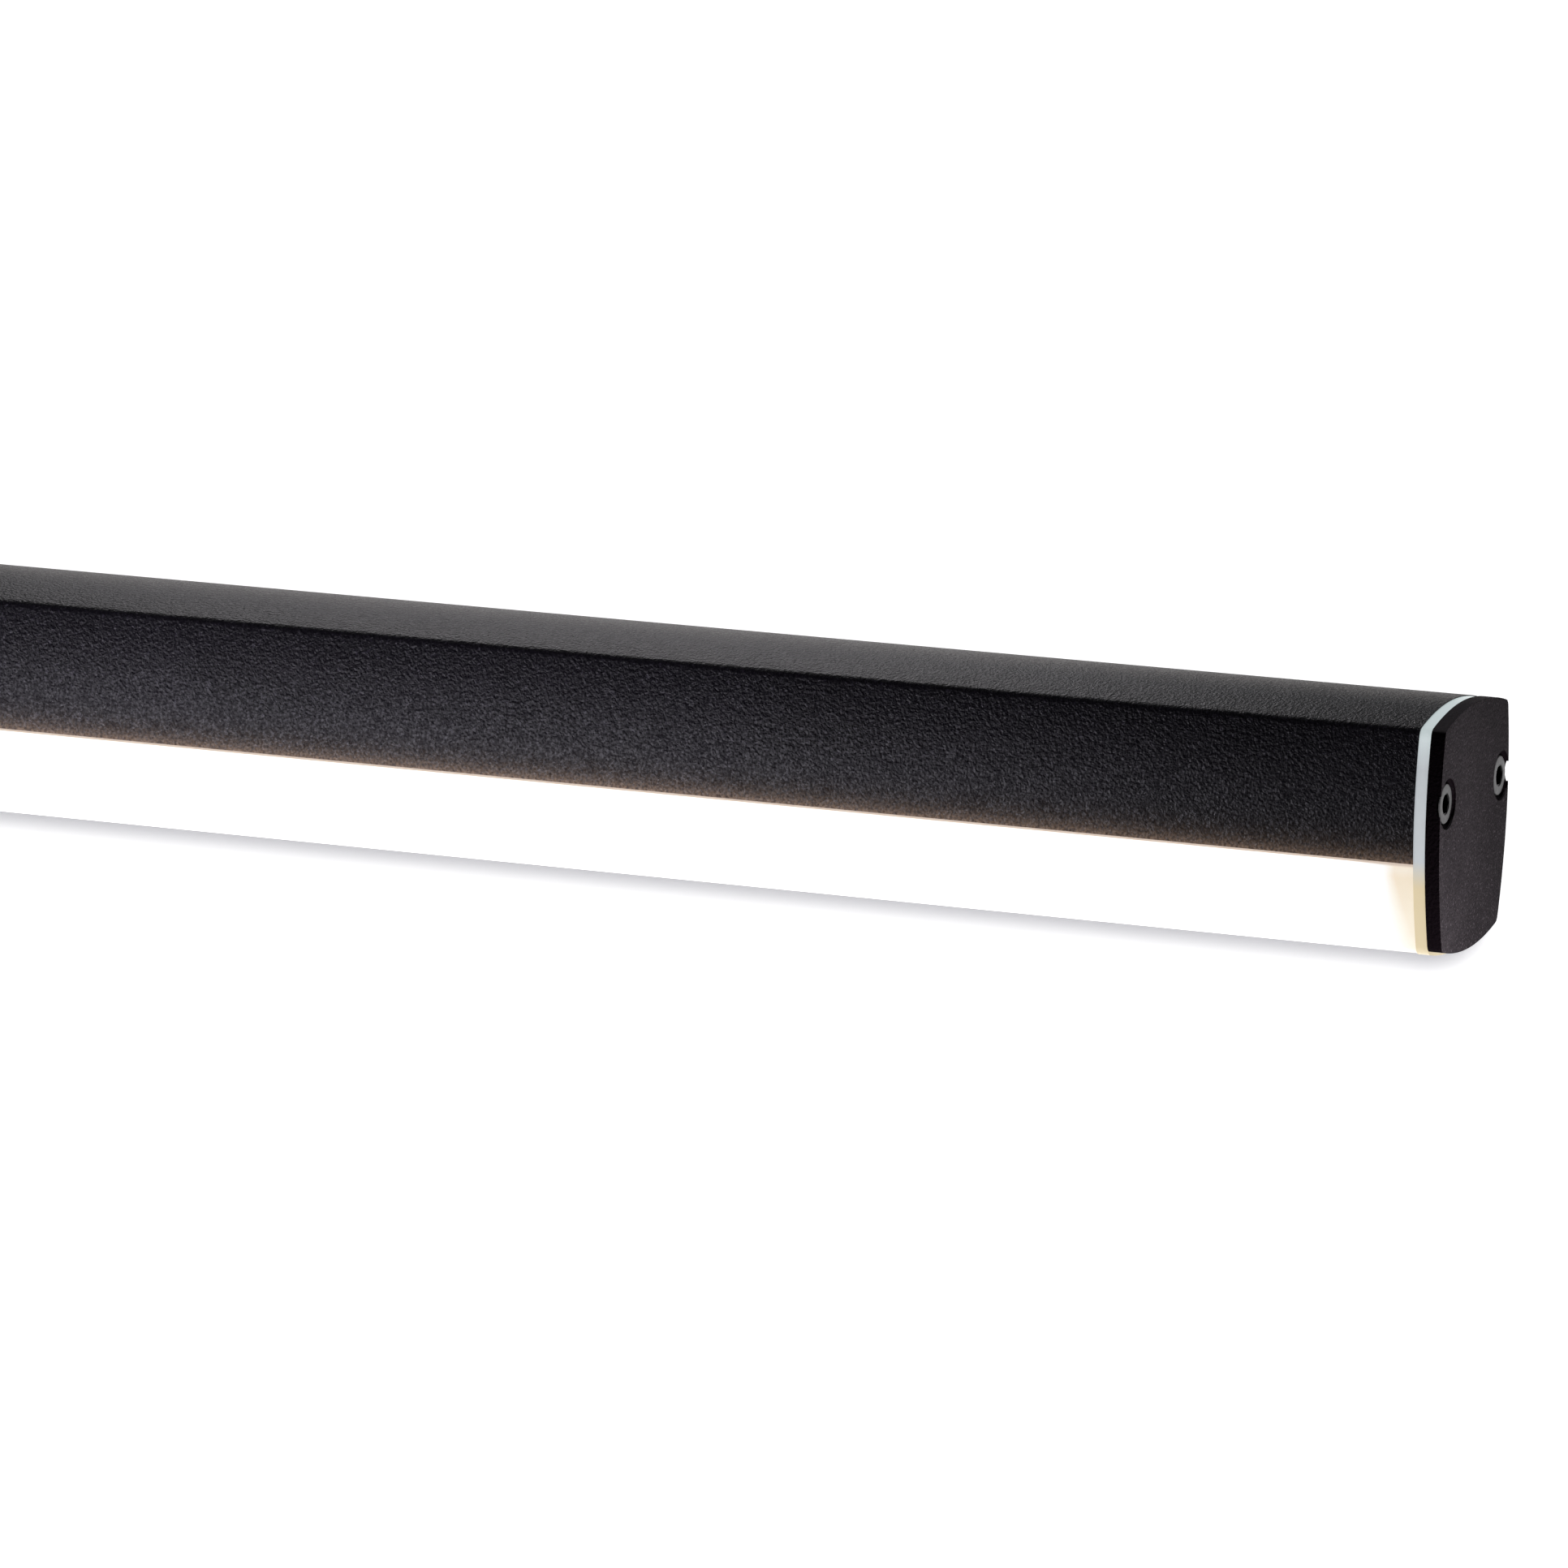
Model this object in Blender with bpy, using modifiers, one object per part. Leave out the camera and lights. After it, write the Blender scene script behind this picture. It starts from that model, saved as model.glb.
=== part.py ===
"""Wall-mounted vanity light bar: a pillow-section aluminium bar with a white light-giving
lower half, end plates and screwed end caps, carried by two tubes on a round wall canopy.

Sizes are written in millimetres and turned into metres when a shape is made.
Room axes: X along the bar, Y towards the wall (the wall is the plane Y = 0), Z up.
Section axes: u is depth from the bar's centre (towards the wall), v is height from it.
"""
import math

import bmesh
import bpy
from mathutils import Matrix, Vector

MM = 0.001

# ---- driving dimensions -------------------------------------------------------------
BAR_LENGTH = 650.0          # over the two end caps
HALF_DEPTH = 15.6           # bar section, centre to the front at mid height
HALF_HEIGHT = 17.5          # centre to the crown of the top
SIDE_TAPER = 0.045          # the section narrows by this much per unit of height downwards
SIDE_RADIUS = 60.0          # bow of the front and back walls
CROWN_RADIUS = 50.0         # arch of the top and of the bottom
BODY_DROP = 0.9             # diffuser and end plate reach this much further down than up
CAP_DROP = 0.25             # the end cap does so by this much
CREASE_RADIUS = 0.8         # rounding of the four long edges
WALL = 1.5                  # extrusion and diffuser wall
FIT_GAP = 0.1               # clearance left between neighbouring pieces

CAP_THICKNESS = 2.1
PLATE_THICKNESS = 1.6
PLATE_INSET = 0.15          # end plate stands this far inside the bar's outline
COVER_EDGE_V = -3.5         # the black cover ends here, the diffuser starts below it
DIFFUSER_RECESS = 0.3       # diffuser surface behind the cover's surface

WALL_PROJECTION = 76.0      # wall to the bar's front
CANOPY_RADIUS = 57.0
CANOPY_DEPTH = 25.0
CANOPY_WALL = 1.2
STEM_SPACING = 44.0         # between the two stand-off tubes
STEM_V = 8.2                # stem axis above the bar's centre

# ---- sizes that follow from them ----------------------------------------------------
BAR_Y = HALF_DEPTH - WALL_PROJECTION
BAR_Z = -STEM_V
CAP_OUTER_X = BAR_LENGTH / 2
CAP_INNER_X = CAP_OUTER_X - CAP_THICKNESS
PLATE_OUTER_X = CAP_INNER_X - FIT_GAP
PLATE_INNER_X = PLATE_OUTER_X - PLATE_THICKNESS
BODY_LENGTH = 2 * (PLATE_INNER_X - FIT_GAP)
STEM_X = STEM_SPACING / 2
SIDES = (("left", -1), ("right", 1))

# ---- extrusion section --------------------------------------------------------------
WEB_TOP_V = 1.6
WEB_BOTTOM_V = 0.1
CAVITY_HALF_WIDTH = 12.8
PORT_U = 12.3               # cap screw ports
PORT_V = 4.9
PORT_RADIUS = 1.6
PORT_WALL = 1.2
SKIRT_BEAD = 0.4            # bead that keeps the diffuser's hooks in

# ---- fasteners ----------------------------------------------------------------------
CAP_SCREW_HEAD_RADIUS = 2.85
CAP_SCREW_SHANK_RADIUS = 1.45
CAP_SCREW_LENGTH = 12.0
CAP_SCREW_SUNK = 0.3        # head face below the cap's face
COUNTERSINK_RADIUS = 3.6
SHANK_HOLE_RADIUS = 1.7
HEX_KEY_FLATS = 2.3
NIPPLE_RADIUS = 4.0
NIPPLE_BORE = 2.75
NUT_FLATS = 11.0
NUT_THICKNESS = 3.0
WASHER_THICKNESS = 1.0

# ---- parts inside the canopy --------------------------------------------------------
DRIVER_LENGTH = 66.0
DRIVER_HEIGHT = 26.0
DRIVER_DEPTH = 16.0
DRIVER_Z = -29.0
DRIVER_WALL = 1.5
PAD_THICKNESS = 1.0
TERMINAL_LENGTH = 30.0
TERMINAL_HEIGHT = 16.0
TERMINAL_DEPTH = 13.0
TERMINAL_Z = 24.0
TERMINAL_PITCH = 10.0
STRAP_HALF_LENGTH = 52.0
STRAP_WIDTH = 20.0
STRAP_THICKNESS = 2.0
STRAP_TAB_DEPTH = 14.0
SLOT_SPACING = 82.0         # covers 3-1/2 in and 2-3/4 in wall boxes with its length
SLOT_LENGTH = 14.0
SLOT_WIDTH = 4.6
SIDE_SCREW_Y = -8.0
SIDE_SCREW_RADIUS = 2.0

CANOPY_FACE_Y = -CANOPY_DEPTH
CANOPY_INSIDE_Y = CANOPY_FACE_Y + CANOPY_WALL
PAD_Y = CANOPY_INSIDE_Y + FIT_GAP + PAD_THICKNESS / 2
PAD_BACK_Y = CANOPY_INSIDE_Y + FIT_GAP + PAD_THICKNESS
WIRE_RADIUS = 0.8
SOLDER_V = WEB_BOTTOM_V - 2.5   # middle of a wire soldered under an LED board

# A flat outline is drawn in its own XY plane. This turns it to be swept along an axis.
SWEEP_TURN = {
    "X": (math.pi / 2, 0.0, math.pi / 2),
    "Y": (math.pi / 2, 0.0, 0.0),
    "Z": (0.0, 0.0, 0.0),
}
# A turned profile is drawn about its own Z. This stands that axis along a room axis.
LATHE_TURN = {
    "+X": (0.0, math.pi / 2, 0.0),
    "-X": (0.0, -math.pi / 2, 0.0),
    "+Y": (-math.pi / 2, 0.0, 0.0),
    "-Y": (math.pi / 2, 0.0, 0.0),
    "+Z": (0.0, 0.0, 0.0),
}


# ---- scene and material helpers -----------------------------------------------------
def clear_scene():
    for old in list(bpy.data.objects):
        bpy.data.objects.remove(old, do_unlink=True)


def new_collection(name):
    collection = bpy.data.collections.new(name)
    bpy.context.scene.collection.children.link(collection)
    return collection


def make_material(name, colour, roughness, metallic=0.0):
    material = bpy.data.materials.new(name)
    material.use_nodes = True
    shader = material.node_tree.nodes["Principled BSDF"]
    shader.inputs["Base Color"].default_value = (*colour, 1.0)
    shader.inputs["Roughness"].default_value = roughness
    shader.inputs["Metallic"].default_value = metallic
    material.diffuse_color = (*colour, 1.0)
    return material


def place(obj, centre):
    obj.location = Vector(centre) * MM


def add_object(name, mesh, material, collection):
    obj = bpy.data.objects.new(name, mesh)
    collection.objects.link(obj)
    if material is not None:
        mesh.materials.append(material)
    return obj


def cut(target, cutter, operation="DIFFERENCE"):
    """Boolean one shape out of (or into) another; the cutter stays hidden."""
    cutter.hide_render = True
    cutter.display_type = "WIRE"
    modifier = target.modifiers.new(cutter.name, "BOOLEAN")
    modifier.operation = operation
    modifier.solver = "EXACT"
    modifier.object = cutter


# ---- shape helpers ------------------------------------------------------------------
def box(name, size, centre, material, collection):
    mesh = bpy.data.meshes.new(name)
    shape = bmesh.new()
    bmesh.ops.create_cube(shape, size=1.0)
    bmesh.ops.scale(shape, vec=Vector(size) * MM, verts=shape.verts)
    shape.to_mesh(mesh)
    shape.free()
    obj = add_object(name, mesh, material, collection)
    place(obj, centre)
    return obj


def box_row(name, size, centres, material, collection):
    """Several equal boxes in one mesh, to be joined to one board."""
    mesh = bpy.data.meshes.new(name)
    shape = bmesh.new()
    for centre in centres:
        made = bmesh.ops.create_cube(shape, size=1.0)["verts"]
        bmesh.ops.scale(shape, vec=Vector(size) * MM, verts=made)
        bmesh.ops.translate(shape, vec=Vector(centre) * MM, verts=made)
    shape.to_mesh(mesh)
    shape.free()
    return add_object(name, mesh, material, collection)


def rod(name, radius, length, axis, centre, collection, segments=24):
    """A plain round bar, mostly used as a cutter."""
    mesh = bpy.data.meshes.new(name)
    shape = bmesh.new()
    bmesh.ops.create_cone(
        shape, cap_ends=True, segments=segments,
        radius1=radius * MM, radius2=radius * MM, depth=length * MM,
    )
    shape.to_mesh(mesh)
    shape.free()
    obj = add_object(name, mesh, None, collection)
    obj.rotation_euler = LATHE_TURN["+" + axis]
    place(obj, centre)
    return obj


def swept(name, loops, length, axis, centre, material, collection):
    """A flat outline, with any holes in it, given a thickness along one room axis."""
    curve = bpy.data.curves.new(name + "_outline", "CURVE")
    curve.dimensions = "2D"
    curve.fill_mode = "BOTH"
    curve.extrude = length * MM / 2
    for loop in loops:
        spline = curve.splines.new("POLY")
        spline.points.add(len(loop) - 1)
        spline.use_cyclic_u = True
        for point, (across, up) in zip(spline.points, loop):
            point.co = (across * MM, up * MM, 0.0, 1.0)
    outline = bpy.data.objects.new(name + "_outline", curve)
    bpy.context.scene.collection.objects.link(outline)
    mesh = solid_from_curve(outline, name)
    obj = add_object(name, mesh, material, collection)
    obj.rotation_euler = SWEEP_TURN[axis]
    place(obj, centre)
    return obj


def solid_from_curve(curve_object, name):
    """Turn a curve into one welded mesh and drop the curve."""
    graph = bpy.context.evaluated_depsgraph_get()
    mesh = bpy.data.meshes.new_from_object(curve_object.evaluated_get(graph))
    mesh.name = name
    mesh.materials.clear()
    shape = bmesh.new()
    shape.from_mesh(mesh)
    bmesh.ops.remove_doubles(shape, verts=shape.verts, dist=1e-6)
    bmesh.ops.recalc_face_normals(shape, faces=shape.faces)
    shape.to_mesh(mesh)
    shape.free()
    bpy.data.objects.remove(curve_object, do_unlink=True)
    return mesh


def turned(name, profile, facing, centre, material, collection, closed=False, segments=24):
    """Spin a profile of (radius, height) points, drawn down its outer side."""
    mesh = bpy.data.meshes.new(name)
    points = [(radius * MM, 0.0, height * MM) for radius, height in profile]
    edges = [(i, i + 1) for i in range(len(points) - 1)]
    if closed:
        edges.append((len(points) - 1, 0))
    mesh.from_pydata(points, edges, [])
    obj = add_object(name, mesh, material, collection)
    spin = obj.modifiers.new("spin", "SCREW")
    spin.steps = segments
    spin.render_steps = segments
    spin.use_merge_vertices = True
    spin.merge_threshold = 1e-6
    obj.rotation_euler = LATHE_TURN[facing]
    place(obj, centre)
    return obj


def circle(centre, radius, segments=24, start=0.0):
    turn = 2 * math.pi / segments
    return [
        (centre[0] + radius * math.cos(start + turn * i),
         centre[1] + radius * math.sin(start + turn * i))
        for i in range(segments)
    ]


def hexagon(flats):
    return circle((0.0, 0.0), flats / math.sqrt(3.0), segments=6)


def rectangle(width, height, centre=(0.0, 0.0)):
    right = centre[0] + width / 2
    left = centre[0] - width / 2
    top = centre[1] + height / 2
    bottom = centre[1] - height / 2
    return [(left, bottom), (right, bottom), (right, top), (left, top)]


def slot(length, width, centre, segments=12):
    """A round-ended slot lying along the first axis."""
    reach = (length - width) / 2
    points = []
    for end in (1, -1):
        for i in range(segments + 1):
            angle = math.pi * i / segments - end * math.pi / 2
            across = centre[0] + end * (reach + width / 2 * math.cos(angle) * end)
            points.append((across, centre[1] + width / 2 * math.sin(angle)))
    return points


# ---- the pillow section -------------------------------------------------------------
def side_u(v, inset=0.0):
    """Depth of the bowed side at height v, on the wall side."""
    return HALF_DEPTH - inset + SIDE_TAPER * v - v ** 2 / (2 * SIDE_RADIUS)


def arch_v(u, up, inset=0.0, drop=0.0):
    """Height of the arched top (up = 1) or bottom (up = -1) at depth u."""
    return up * (HALF_HEIGHT + drop - inset - u ** 2 / (2 * CROWN_RADIUS))


def corner(up, inset, drop):
    """Where a side meets the arch, found by going to and fro between the two."""
    u = HALF_DEPTH
    for _ in range(12):
        v = arch_v(u, up, inset, drop)
        u = side_u(v, inset)
    return Vector((u, v))


def half_pillow(up, start_v, inset=0.0, drop=0.0, side_steps=8, arch_steps=10):
    """Half of the outline, from height start_v on the wall side to start_v at the front.

    It goes over the top with up = 1 and round the bottom with up = -1.
    """
    crease = corner(up, inset, drop)
    end_v = crease.y - up * CREASE_RADIUS
    heights = [start_v + (end_v - start_v) * i / side_steps for i in range(side_steps + 1)]
    side = [(side_u(v, inset), v) for v in heights]
    reach = crease.x - CREASE_RADIUS
    depths = [reach - 2 * reach * i / arch_steps for i in range(arch_steps + 1)]
    arch = [(u, arch_v(u, up, inset, drop)) for u in depths]
    side += rounding(side[-1], crease, arch[0])
    return side + arch + flipped(side)


def rounding(start, bend, end, steps=4):
    """Points between start and end of a quadratic curve that rounds the corner bend."""
    start = Vector(start)
    end = Vector(end)
    points = []
    for i in range(1, steps):
        t = i / steps
        spot = start * (1 - t) ** 2 + bend * 2 * t * (1 - t) + end * t ** 2
        points.append((spot.x, spot.y))
    return points


def flipped(points):
    """Mirror front to back and run the other way."""
    return [(-u, v) for u, v in reversed(points)]


def full_pillow(inset=0.0, drop=0.0):
    """The whole section outline: over the top, then back round the bottom."""
    lower = half_pillow(-1, 0.0, inset, drop)
    return half_pillow(1, 0.0, inset) + lower[::-1][1:-1]


# ---- bar: extrusion, diffuser, ends -------------------------------------------------
def housing_outline():
    """Open-bottomed black cover with its web, and beads inside its two skirts."""
    skirt_u = side_u(COVER_EDGE_V) - WALL
    bead_u = skirt_u - SKIRT_BEAD
    inner_skirt = [
        (bead_u, COVER_EDGE_V),
        (bead_u, COVER_EDGE_V + 0.7),
        (skirt_u, COVER_EDGE_V + 1.0),
        (skirt_u, WEB_BOTTOM_V),
    ]
    front_skirt = [(-u, v) for u, v in inner_skirt]
    return half_pillow(1, COVER_EDGE_V) + front_skirt + inner_skirt[::-1]


def cavity_outline():
    """Wiring space above the web, stepping round the two screw ports."""
    port_reach = PORT_RADIUS + PORT_WALL
    port_face_u = PORT_U - port_reach
    port_top_v = PORT_V + port_reach
    roof_steps = 6
    depths = [
        CAVITY_HALF_WIDTH - 2 * CAVITY_HALF_WIDTH * i / roof_steps
        for i in range(roof_steps + 1)
    ]
    rise = [(port_face_u, WEB_TOP_V), (port_face_u, port_top_v), (CAVITY_HALF_WIDTH, port_top_v)]
    roof = [(u, arch_v(u, 1, WALL)) for u in depths]
    return rise + roof + flipped(rise)


def build_housing(material, parts, cutters):
    ports = [circle((side * PORT_U, PORT_V), PORT_RADIUS, 16) for side in (-1, 1)]
    housing = swept(
        "housing_extrusion", [housing_outline(), cavity_outline()] + ports,
        BODY_LENGTH, "X", (0.0, BAR_Y, BAR_Z), material, parts,
    )
    # Each stem lands on a spot-faced pocket that clears the screw port behind its nut.
    pocket_floor = CAVITY_HALF_WIDTH + FIT_GAP
    pocket_depth = 4.0
    for side_name, side in SIDES:
        pocket = box(
            "stem_pocket_" + side_name, (18.0, pocket_depth, 11.6),
            (side * STEM_X, BAR_Y + pocket_floor - pocket_depth / 2, BAR_Z + STEM_V),
            None, cutters,
        )
        cut(housing, pocket)
        hole = rod(
            "stem_hole_" + side_name, NIPPLE_RADIUS + FIT_GAP, 8.0, "Y",
            (side * STEM_X, BAR_Y + HALF_DEPTH - 2.0, BAR_Z + STEM_V), cutters,
        )
        cut(housing, hole)
    wire_hole = rod("web_wire_hole", 3.5, 6.0, "Z", (0.0, BAR_Y, BAR_Z + 1.2), cutters)
    cut(housing, wire_hole)
    return housing


def diffuser_outline():
    """White lens round the lower half, with a tongue and hook at each upper edge."""
    lens_top = COVER_EDGE_V - 0.2
    shoulder_v = lens_top - 1.2
    tongue_out = side_u(COVER_EDGE_V) - WALL - SKIRT_BEAD - 0.2
    tongue_in = tongue_out - 1.0
    tongue_top = WEB_BOTTOM_V - 0.5
    hook_out = tongue_out + SKIRT_BEAD
    hook_v = COVER_EDGE_V + 1.2
    outer = half_pillow(-1, lens_top, DIFFUSER_RECESS, BODY_DROP)
    inner = half_pillow(-1, shoulder_v, DIFFUSER_RECESS + WALL, BODY_DROP)
    tongue = [
        (tongue_in, shoulder_v),
        (tongue_in, tongue_top),
        (tongue_out, tongue_top),
        (hook_out, hook_v + 0.4),
        (hook_out, hook_v),
        (tongue_out, hook_v - 0.2),
        (tongue_out, lens_top),
    ]
    front_tongue = [(-u, v) for u, v in tongue]
    return outer + front_tongue[::-1] + inner[::-1] + tongue


def build_diffuser(material, parts):
    return swept(
        "diffuser_lens", [diffuser_outline()], BODY_LENGTH, "X",
        (0.0, BAR_Y, BAR_Z), material, parts,
    )


def build_end_plates(material, parts):
    holes = [circle((side * PORT_U, PORT_V), SHANK_HOLE_RADIUS, 20) for side in (-1, 1)]
    middle_x = (PLATE_INNER_X + PLATE_OUTER_X) / 2
    for side_name, side in SIDES:
        swept(
            "end_plate_" + side_name, [full_pillow(PLATE_INSET, BODY_DROP)] + holes,
            PLATE_THICKNESS, "X", (side * middle_x, BAR_Y, BAR_Z), material, parts,
        )


def build_end_caps(material, parts, cutters):
    """Black end caps; the countersinks are wide enough to break through their edges."""
    middle_x = (CAP_INNER_X + CAP_OUTER_X) / 2
    sink_profile = [
        (0.0, 1.0),
        (COUNTERSINK_RADIUS, 1.0),
        (COUNTERSINK_RADIUS, -CAP_SCREW_SUNK),
        (SHANK_HOLE_RADIUS, CAP_SCREW_SUNK - COUNTERSINK_RADIUS + SHANK_HOLE_RADIUS - 0.2),
        (SHANK_HOLE_RADIUS, -CAP_THICKNESS - 1.0),
        (0.0, -CAP_THICKNESS - 1.0),
    ]
    for side_name, side in SIDES:
        cap = swept(
            "end_cap_" + side_name, [full_pillow(drop=CAP_DROP)], CAP_THICKNESS, "X",
            (side * middle_x, BAR_Y, BAR_Z), material, parts,
        )
        for edge_name, edge in (("front", -1), ("back", 1)):
            sink = turned(
                "countersink_%s_%s" % (side_name, edge_name), sink_profile,
                "+X" if side > 0 else "-X",
                (side * CAP_OUTER_X, BAR_Y + edge * PORT_U, BAR_Z + PORT_V), None, cutters,
            )
            cut(cap, sink)


def build_cap_screws(material, parts, cutters):
    """Countersunk hex-socket screws, two in each end."""
    cone = CAP_SCREW_HEAD_RADIUS - CAP_SCREW_SHANK_RADIUS
    rim = 0.15
    profile = [
        (0.0, 0.0),
        (CAP_SCREW_HEAD_RADIUS - 0.1, 0.0),
        (CAP_SCREW_HEAD_RADIUS, -rim),
        (CAP_SCREW_SHANK_RADIUS, -rim - cone),
        (CAP_SCREW_SHANK_RADIUS, 0.5 - CAP_SCREW_LENGTH),
        (CAP_SCREW_SHANK_RADIUS - 0.5, -CAP_SCREW_LENGTH),
        (0.0, -CAP_SCREW_LENGTH),
    ]
    socket_depth = 1.2
    head_x = CAP_OUTER_X - CAP_SCREW_SUNK
    for side_name, side in SIDES:
        for edge_name, edge in (("front", -1), ("back", 1)):
            centre = (side * head_x, BAR_Y + edge * PORT_U, BAR_Z + PORT_V)
            screw = turned(
                "cap_screw_%s_%s" % (side_name, edge_name), profile,
                "+X" if side > 0 else "-X", centre, material, parts,
            )
            socket = swept(
                "hex_socket_%s_%s" % (side_name, edge_name), [hexagon(HEX_KEY_FLATS)],
                2 * socket_depth, "X", centre, None, cutters,
            )
            cut(screw, socket)


# ---- light source inside the bar ----------------------------------------------------
def build_led_boards(board_material, pad_material, parts, cutters):
    """Two LED strips hanging under the web on thermal pads, one each side of the middle."""
    board_start = 5.0
    board_end = PLATE_INNER_X - 5.0
    board_length = board_end - board_start
    board_width = 14.0
    board_thickness = 1.0
    pad_thickness = 0.4
    led_count = 24
    led_size = (3.5, 2.8, 0.9)
    led_sunk = 0.2
    pad_v = WEB_BOTTOM_V - 0.05 - pad_thickness / 2
    board_v = pad_v - pad_thickness / 2 - 0.05 - board_thickness / 2
    led_v = board_v - board_thickness / 2 - led_size[2] / 2 + led_sunk
    pitch = board_length / led_count
    for side_name, side in SIDES:
        middle_x = side * (board_start + board_end) / 2
        box(
            "thermal_pad_" + side_name, (board_length, board_width - 1.0, pad_thickness),
            (middle_x, BAR_Y, BAR_Z + pad_v), pad_material, parts,
        )
        board = box(
            "led_board_" + side_name, (board_length, board_width, board_thickness),
            (middle_x, BAR_Y, BAR_Z + board_v), board_material, parts,
        )
        centres = [
            (side * (board_start + pitch * (i + 0.5)), BAR_Y, BAR_Z + led_v)
            for i in range(led_count)
        ]
        packages = box_row("led_packages_" + side_name, led_size, centres, None, cutters)
        cut(board, packages, "UNION")


def build_web_grommet(material, parts):
    """Rubber bush that lines the wire hole in the web."""
    profile = [
        (2.3, 2.0),
        (4.6, 2.0),
        (4.6, 0.9),
        (3.4, 0.9),
        (3.4, -0.9),
        (4.6, -0.9),
        (4.6, -1.6),
        (2.3, -1.6),
    ]
    web_middle = (WEB_TOP_V + WEB_BOTTOM_V) / 2
    turned(
        "web_grommet", profile, "+Z", (0.0, BAR_Y, BAR_Z + web_middle),
        material, parts, closed=True,
    )


# ---- stems --------------------------------------------------------------------------
def build_stems(tube_material, nipple_material, nut_material, parts, cutters):
    """Two stand-off tubes, each clamped by a hollow threaded nipple and two nuts."""
    tube_radius = 6.0
    tube_bore = 4.3
    bar_back_y = BAR_Y + HALF_DEPTH
    tube_front_y = bar_back_y - 2.0
    tube_back_y = CANOPY_FACE_Y - FIT_GAP
    nipple_front_y = BAR_Y + CAVITY_HALF_WIDTH - NUT_THICKNESS - 1.5
    nipple_back_y = CANOPY_INSIDE_Y + WASHER_THICKNESS + NUT_THICKNESS + 1.8
    housing_nut_y = BAR_Y + CAVITY_HALF_WIDTH - NUT_THICKNESS / 2
    washer_y = CANOPY_INSIDE_Y + FIT_GAP + WASHER_THICKNESS / 2
    canopy_nut_y = washer_y + WASHER_THICKNESS / 2 + FIT_GAP + NUT_THICKNESS / 2
    nut_loops = [hexagon(NUT_FLATS), circle((0.0, 0.0), NIPPLE_RADIUS + 0.05)]
    washer_loops = [circle((0.0, 0.0), 7.0), circle((0.0, 0.0), NIPPLE_RADIUS + FIT_GAP)]
    for side_name, side in SIDES:
        x = side * STEM_X
        tube = swept(
            "standoff_tube_" + side_name,
            [circle((0.0, 0.0), tube_radius), circle((0.0, 0.0), tube_bore)],
            tube_back_y - tube_front_y, "Y", (x, (tube_back_y + tube_front_y) / 2, 0.0),
            tube_material, parts,
        )
        # The tube's end is coped to sit on the bar's bowed back.
        cope = swept(
            "tube_cope_" + side_name, [full_pillow(-FIT_GAP)], 20.0, "X",
            (x, BAR_Y, BAR_Z), None, cutters,
        )
        cut(tube, cope)
        swept(
            "threaded_nipple_" + side_name,
            [circle((0.0, 0.0), NIPPLE_RADIUS), circle((0.0, 0.0), NIPPLE_BORE)],
            nipple_back_y - nipple_front_y, "Y",
            (x, (nipple_back_y + nipple_front_y) / 2, 0.0), nipple_material, parts,
        )
        swept(
            "housing_nut_" + side_name, nut_loops, NUT_THICKNESS, "Y",
            (x, housing_nut_y, 0.0), nut_material, parts,
        )
        swept(
            "canopy_washer_" + side_name, washer_loops, WASHER_THICKNESS, "Y",
            (x, washer_y, 0.0), nut_material, parts,
        )
        swept(
            "canopy_nut_" + side_name, nut_loops, NUT_THICKNESS, "Y",
            (x, canopy_nut_y, 0.0), nut_material, parts,
        )


# ---- wall canopy --------------------------------------------------------------------
def build_canopy(material, parts, cutters):
    """Round cup with an inward rim that lies on the wall."""
    rim_inner = CANOPY_RADIUS - 2.5
    edge = 2.0
    rounding = [
        (CANOPY_RADIUS - edge + edge * math.sin(math.radians(a)),
         CANOPY_DEPTH - edge + edge * math.cos(math.radians(a)))
        for a in (0, 30, 60, 90)
    ]
    profile = [(0.0, CANOPY_DEPTH)] + rounding + [
        (CANOPY_RADIUS, 0.0),
        (rim_inner, 0.0),
        (rim_inner, CANOPY_WALL),
        (CANOPY_RADIUS - CANOPY_WALL, CANOPY_WALL),
        (CANOPY_RADIUS - CANOPY_WALL, CANOPY_DEPTH - edge),
        (CANOPY_RADIUS - edge, CANOPY_DEPTH - CANOPY_WALL),
        (0.0, CANOPY_DEPTH - CANOPY_WALL),
    ]
    canopy = turned(
        "wall_canopy", profile, "-Y", (0.0, 0.0, 0.0), material, parts, segments=64,
    )
    for side_name, side in SIDES:
        stem_hole = rod(
            "canopy_stem_hole_" + side_name, NIPPLE_RADIUS + FIT_GAP, 8.0, "Y",
            (side * STEM_X, CANOPY_FACE_Y, 0.0), cutters,
        )
        cut(canopy, stem_hole)
        screw_hole = rod(
            "canopy_side_hole_" + side_name, SIDE_SCREW_RADIUS + 0.15, 8.0, "X",
            (side * CANOPY_RADIUS, SIDE_SCREW_Y, 0.0), cutters,
        )
        cut(canopy, screw_hole)


def build_side_screws(material, parts, cutters):
    """Two pan-head screws through the canopy's rim into the strap's tabs."""
    head_radius = 3.5
    head_height = 2.2
    shank_length = 8.0
    profile = [
        (0.0, head_height),
        (1.6, head_height - 0.1),
        (2.8, head_height - 0.6),
        (head_radius, head_height - 1.5),
        (head_radius, 0.0),
        (SIDE_SCREW_RADIUS, 0.0),
        (SIDE_SCREW_RADIUS, -shank_length),
        (0.0, -shank_length),
    ]
    for side_name, side in SIDES:
        centre = (side * (CANOPY_RADIUS + FIT_GAP), SIDE_SCREW_Y, 0.0)
        screw = turned(
            "canopy_side_screw_" + side_name, profile, "+X" if side > 0 else "-X",
            centre, material, parts,
        )
        drive = box(
            "screw_slot_" + side_name, (2.0, 8.0, 0.9),
            (centre[0] + side * (head_height + 0.1), SIDE_SCREW_Y, 0.0), None, cutters,
        )
        cut(screw, drive)


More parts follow.
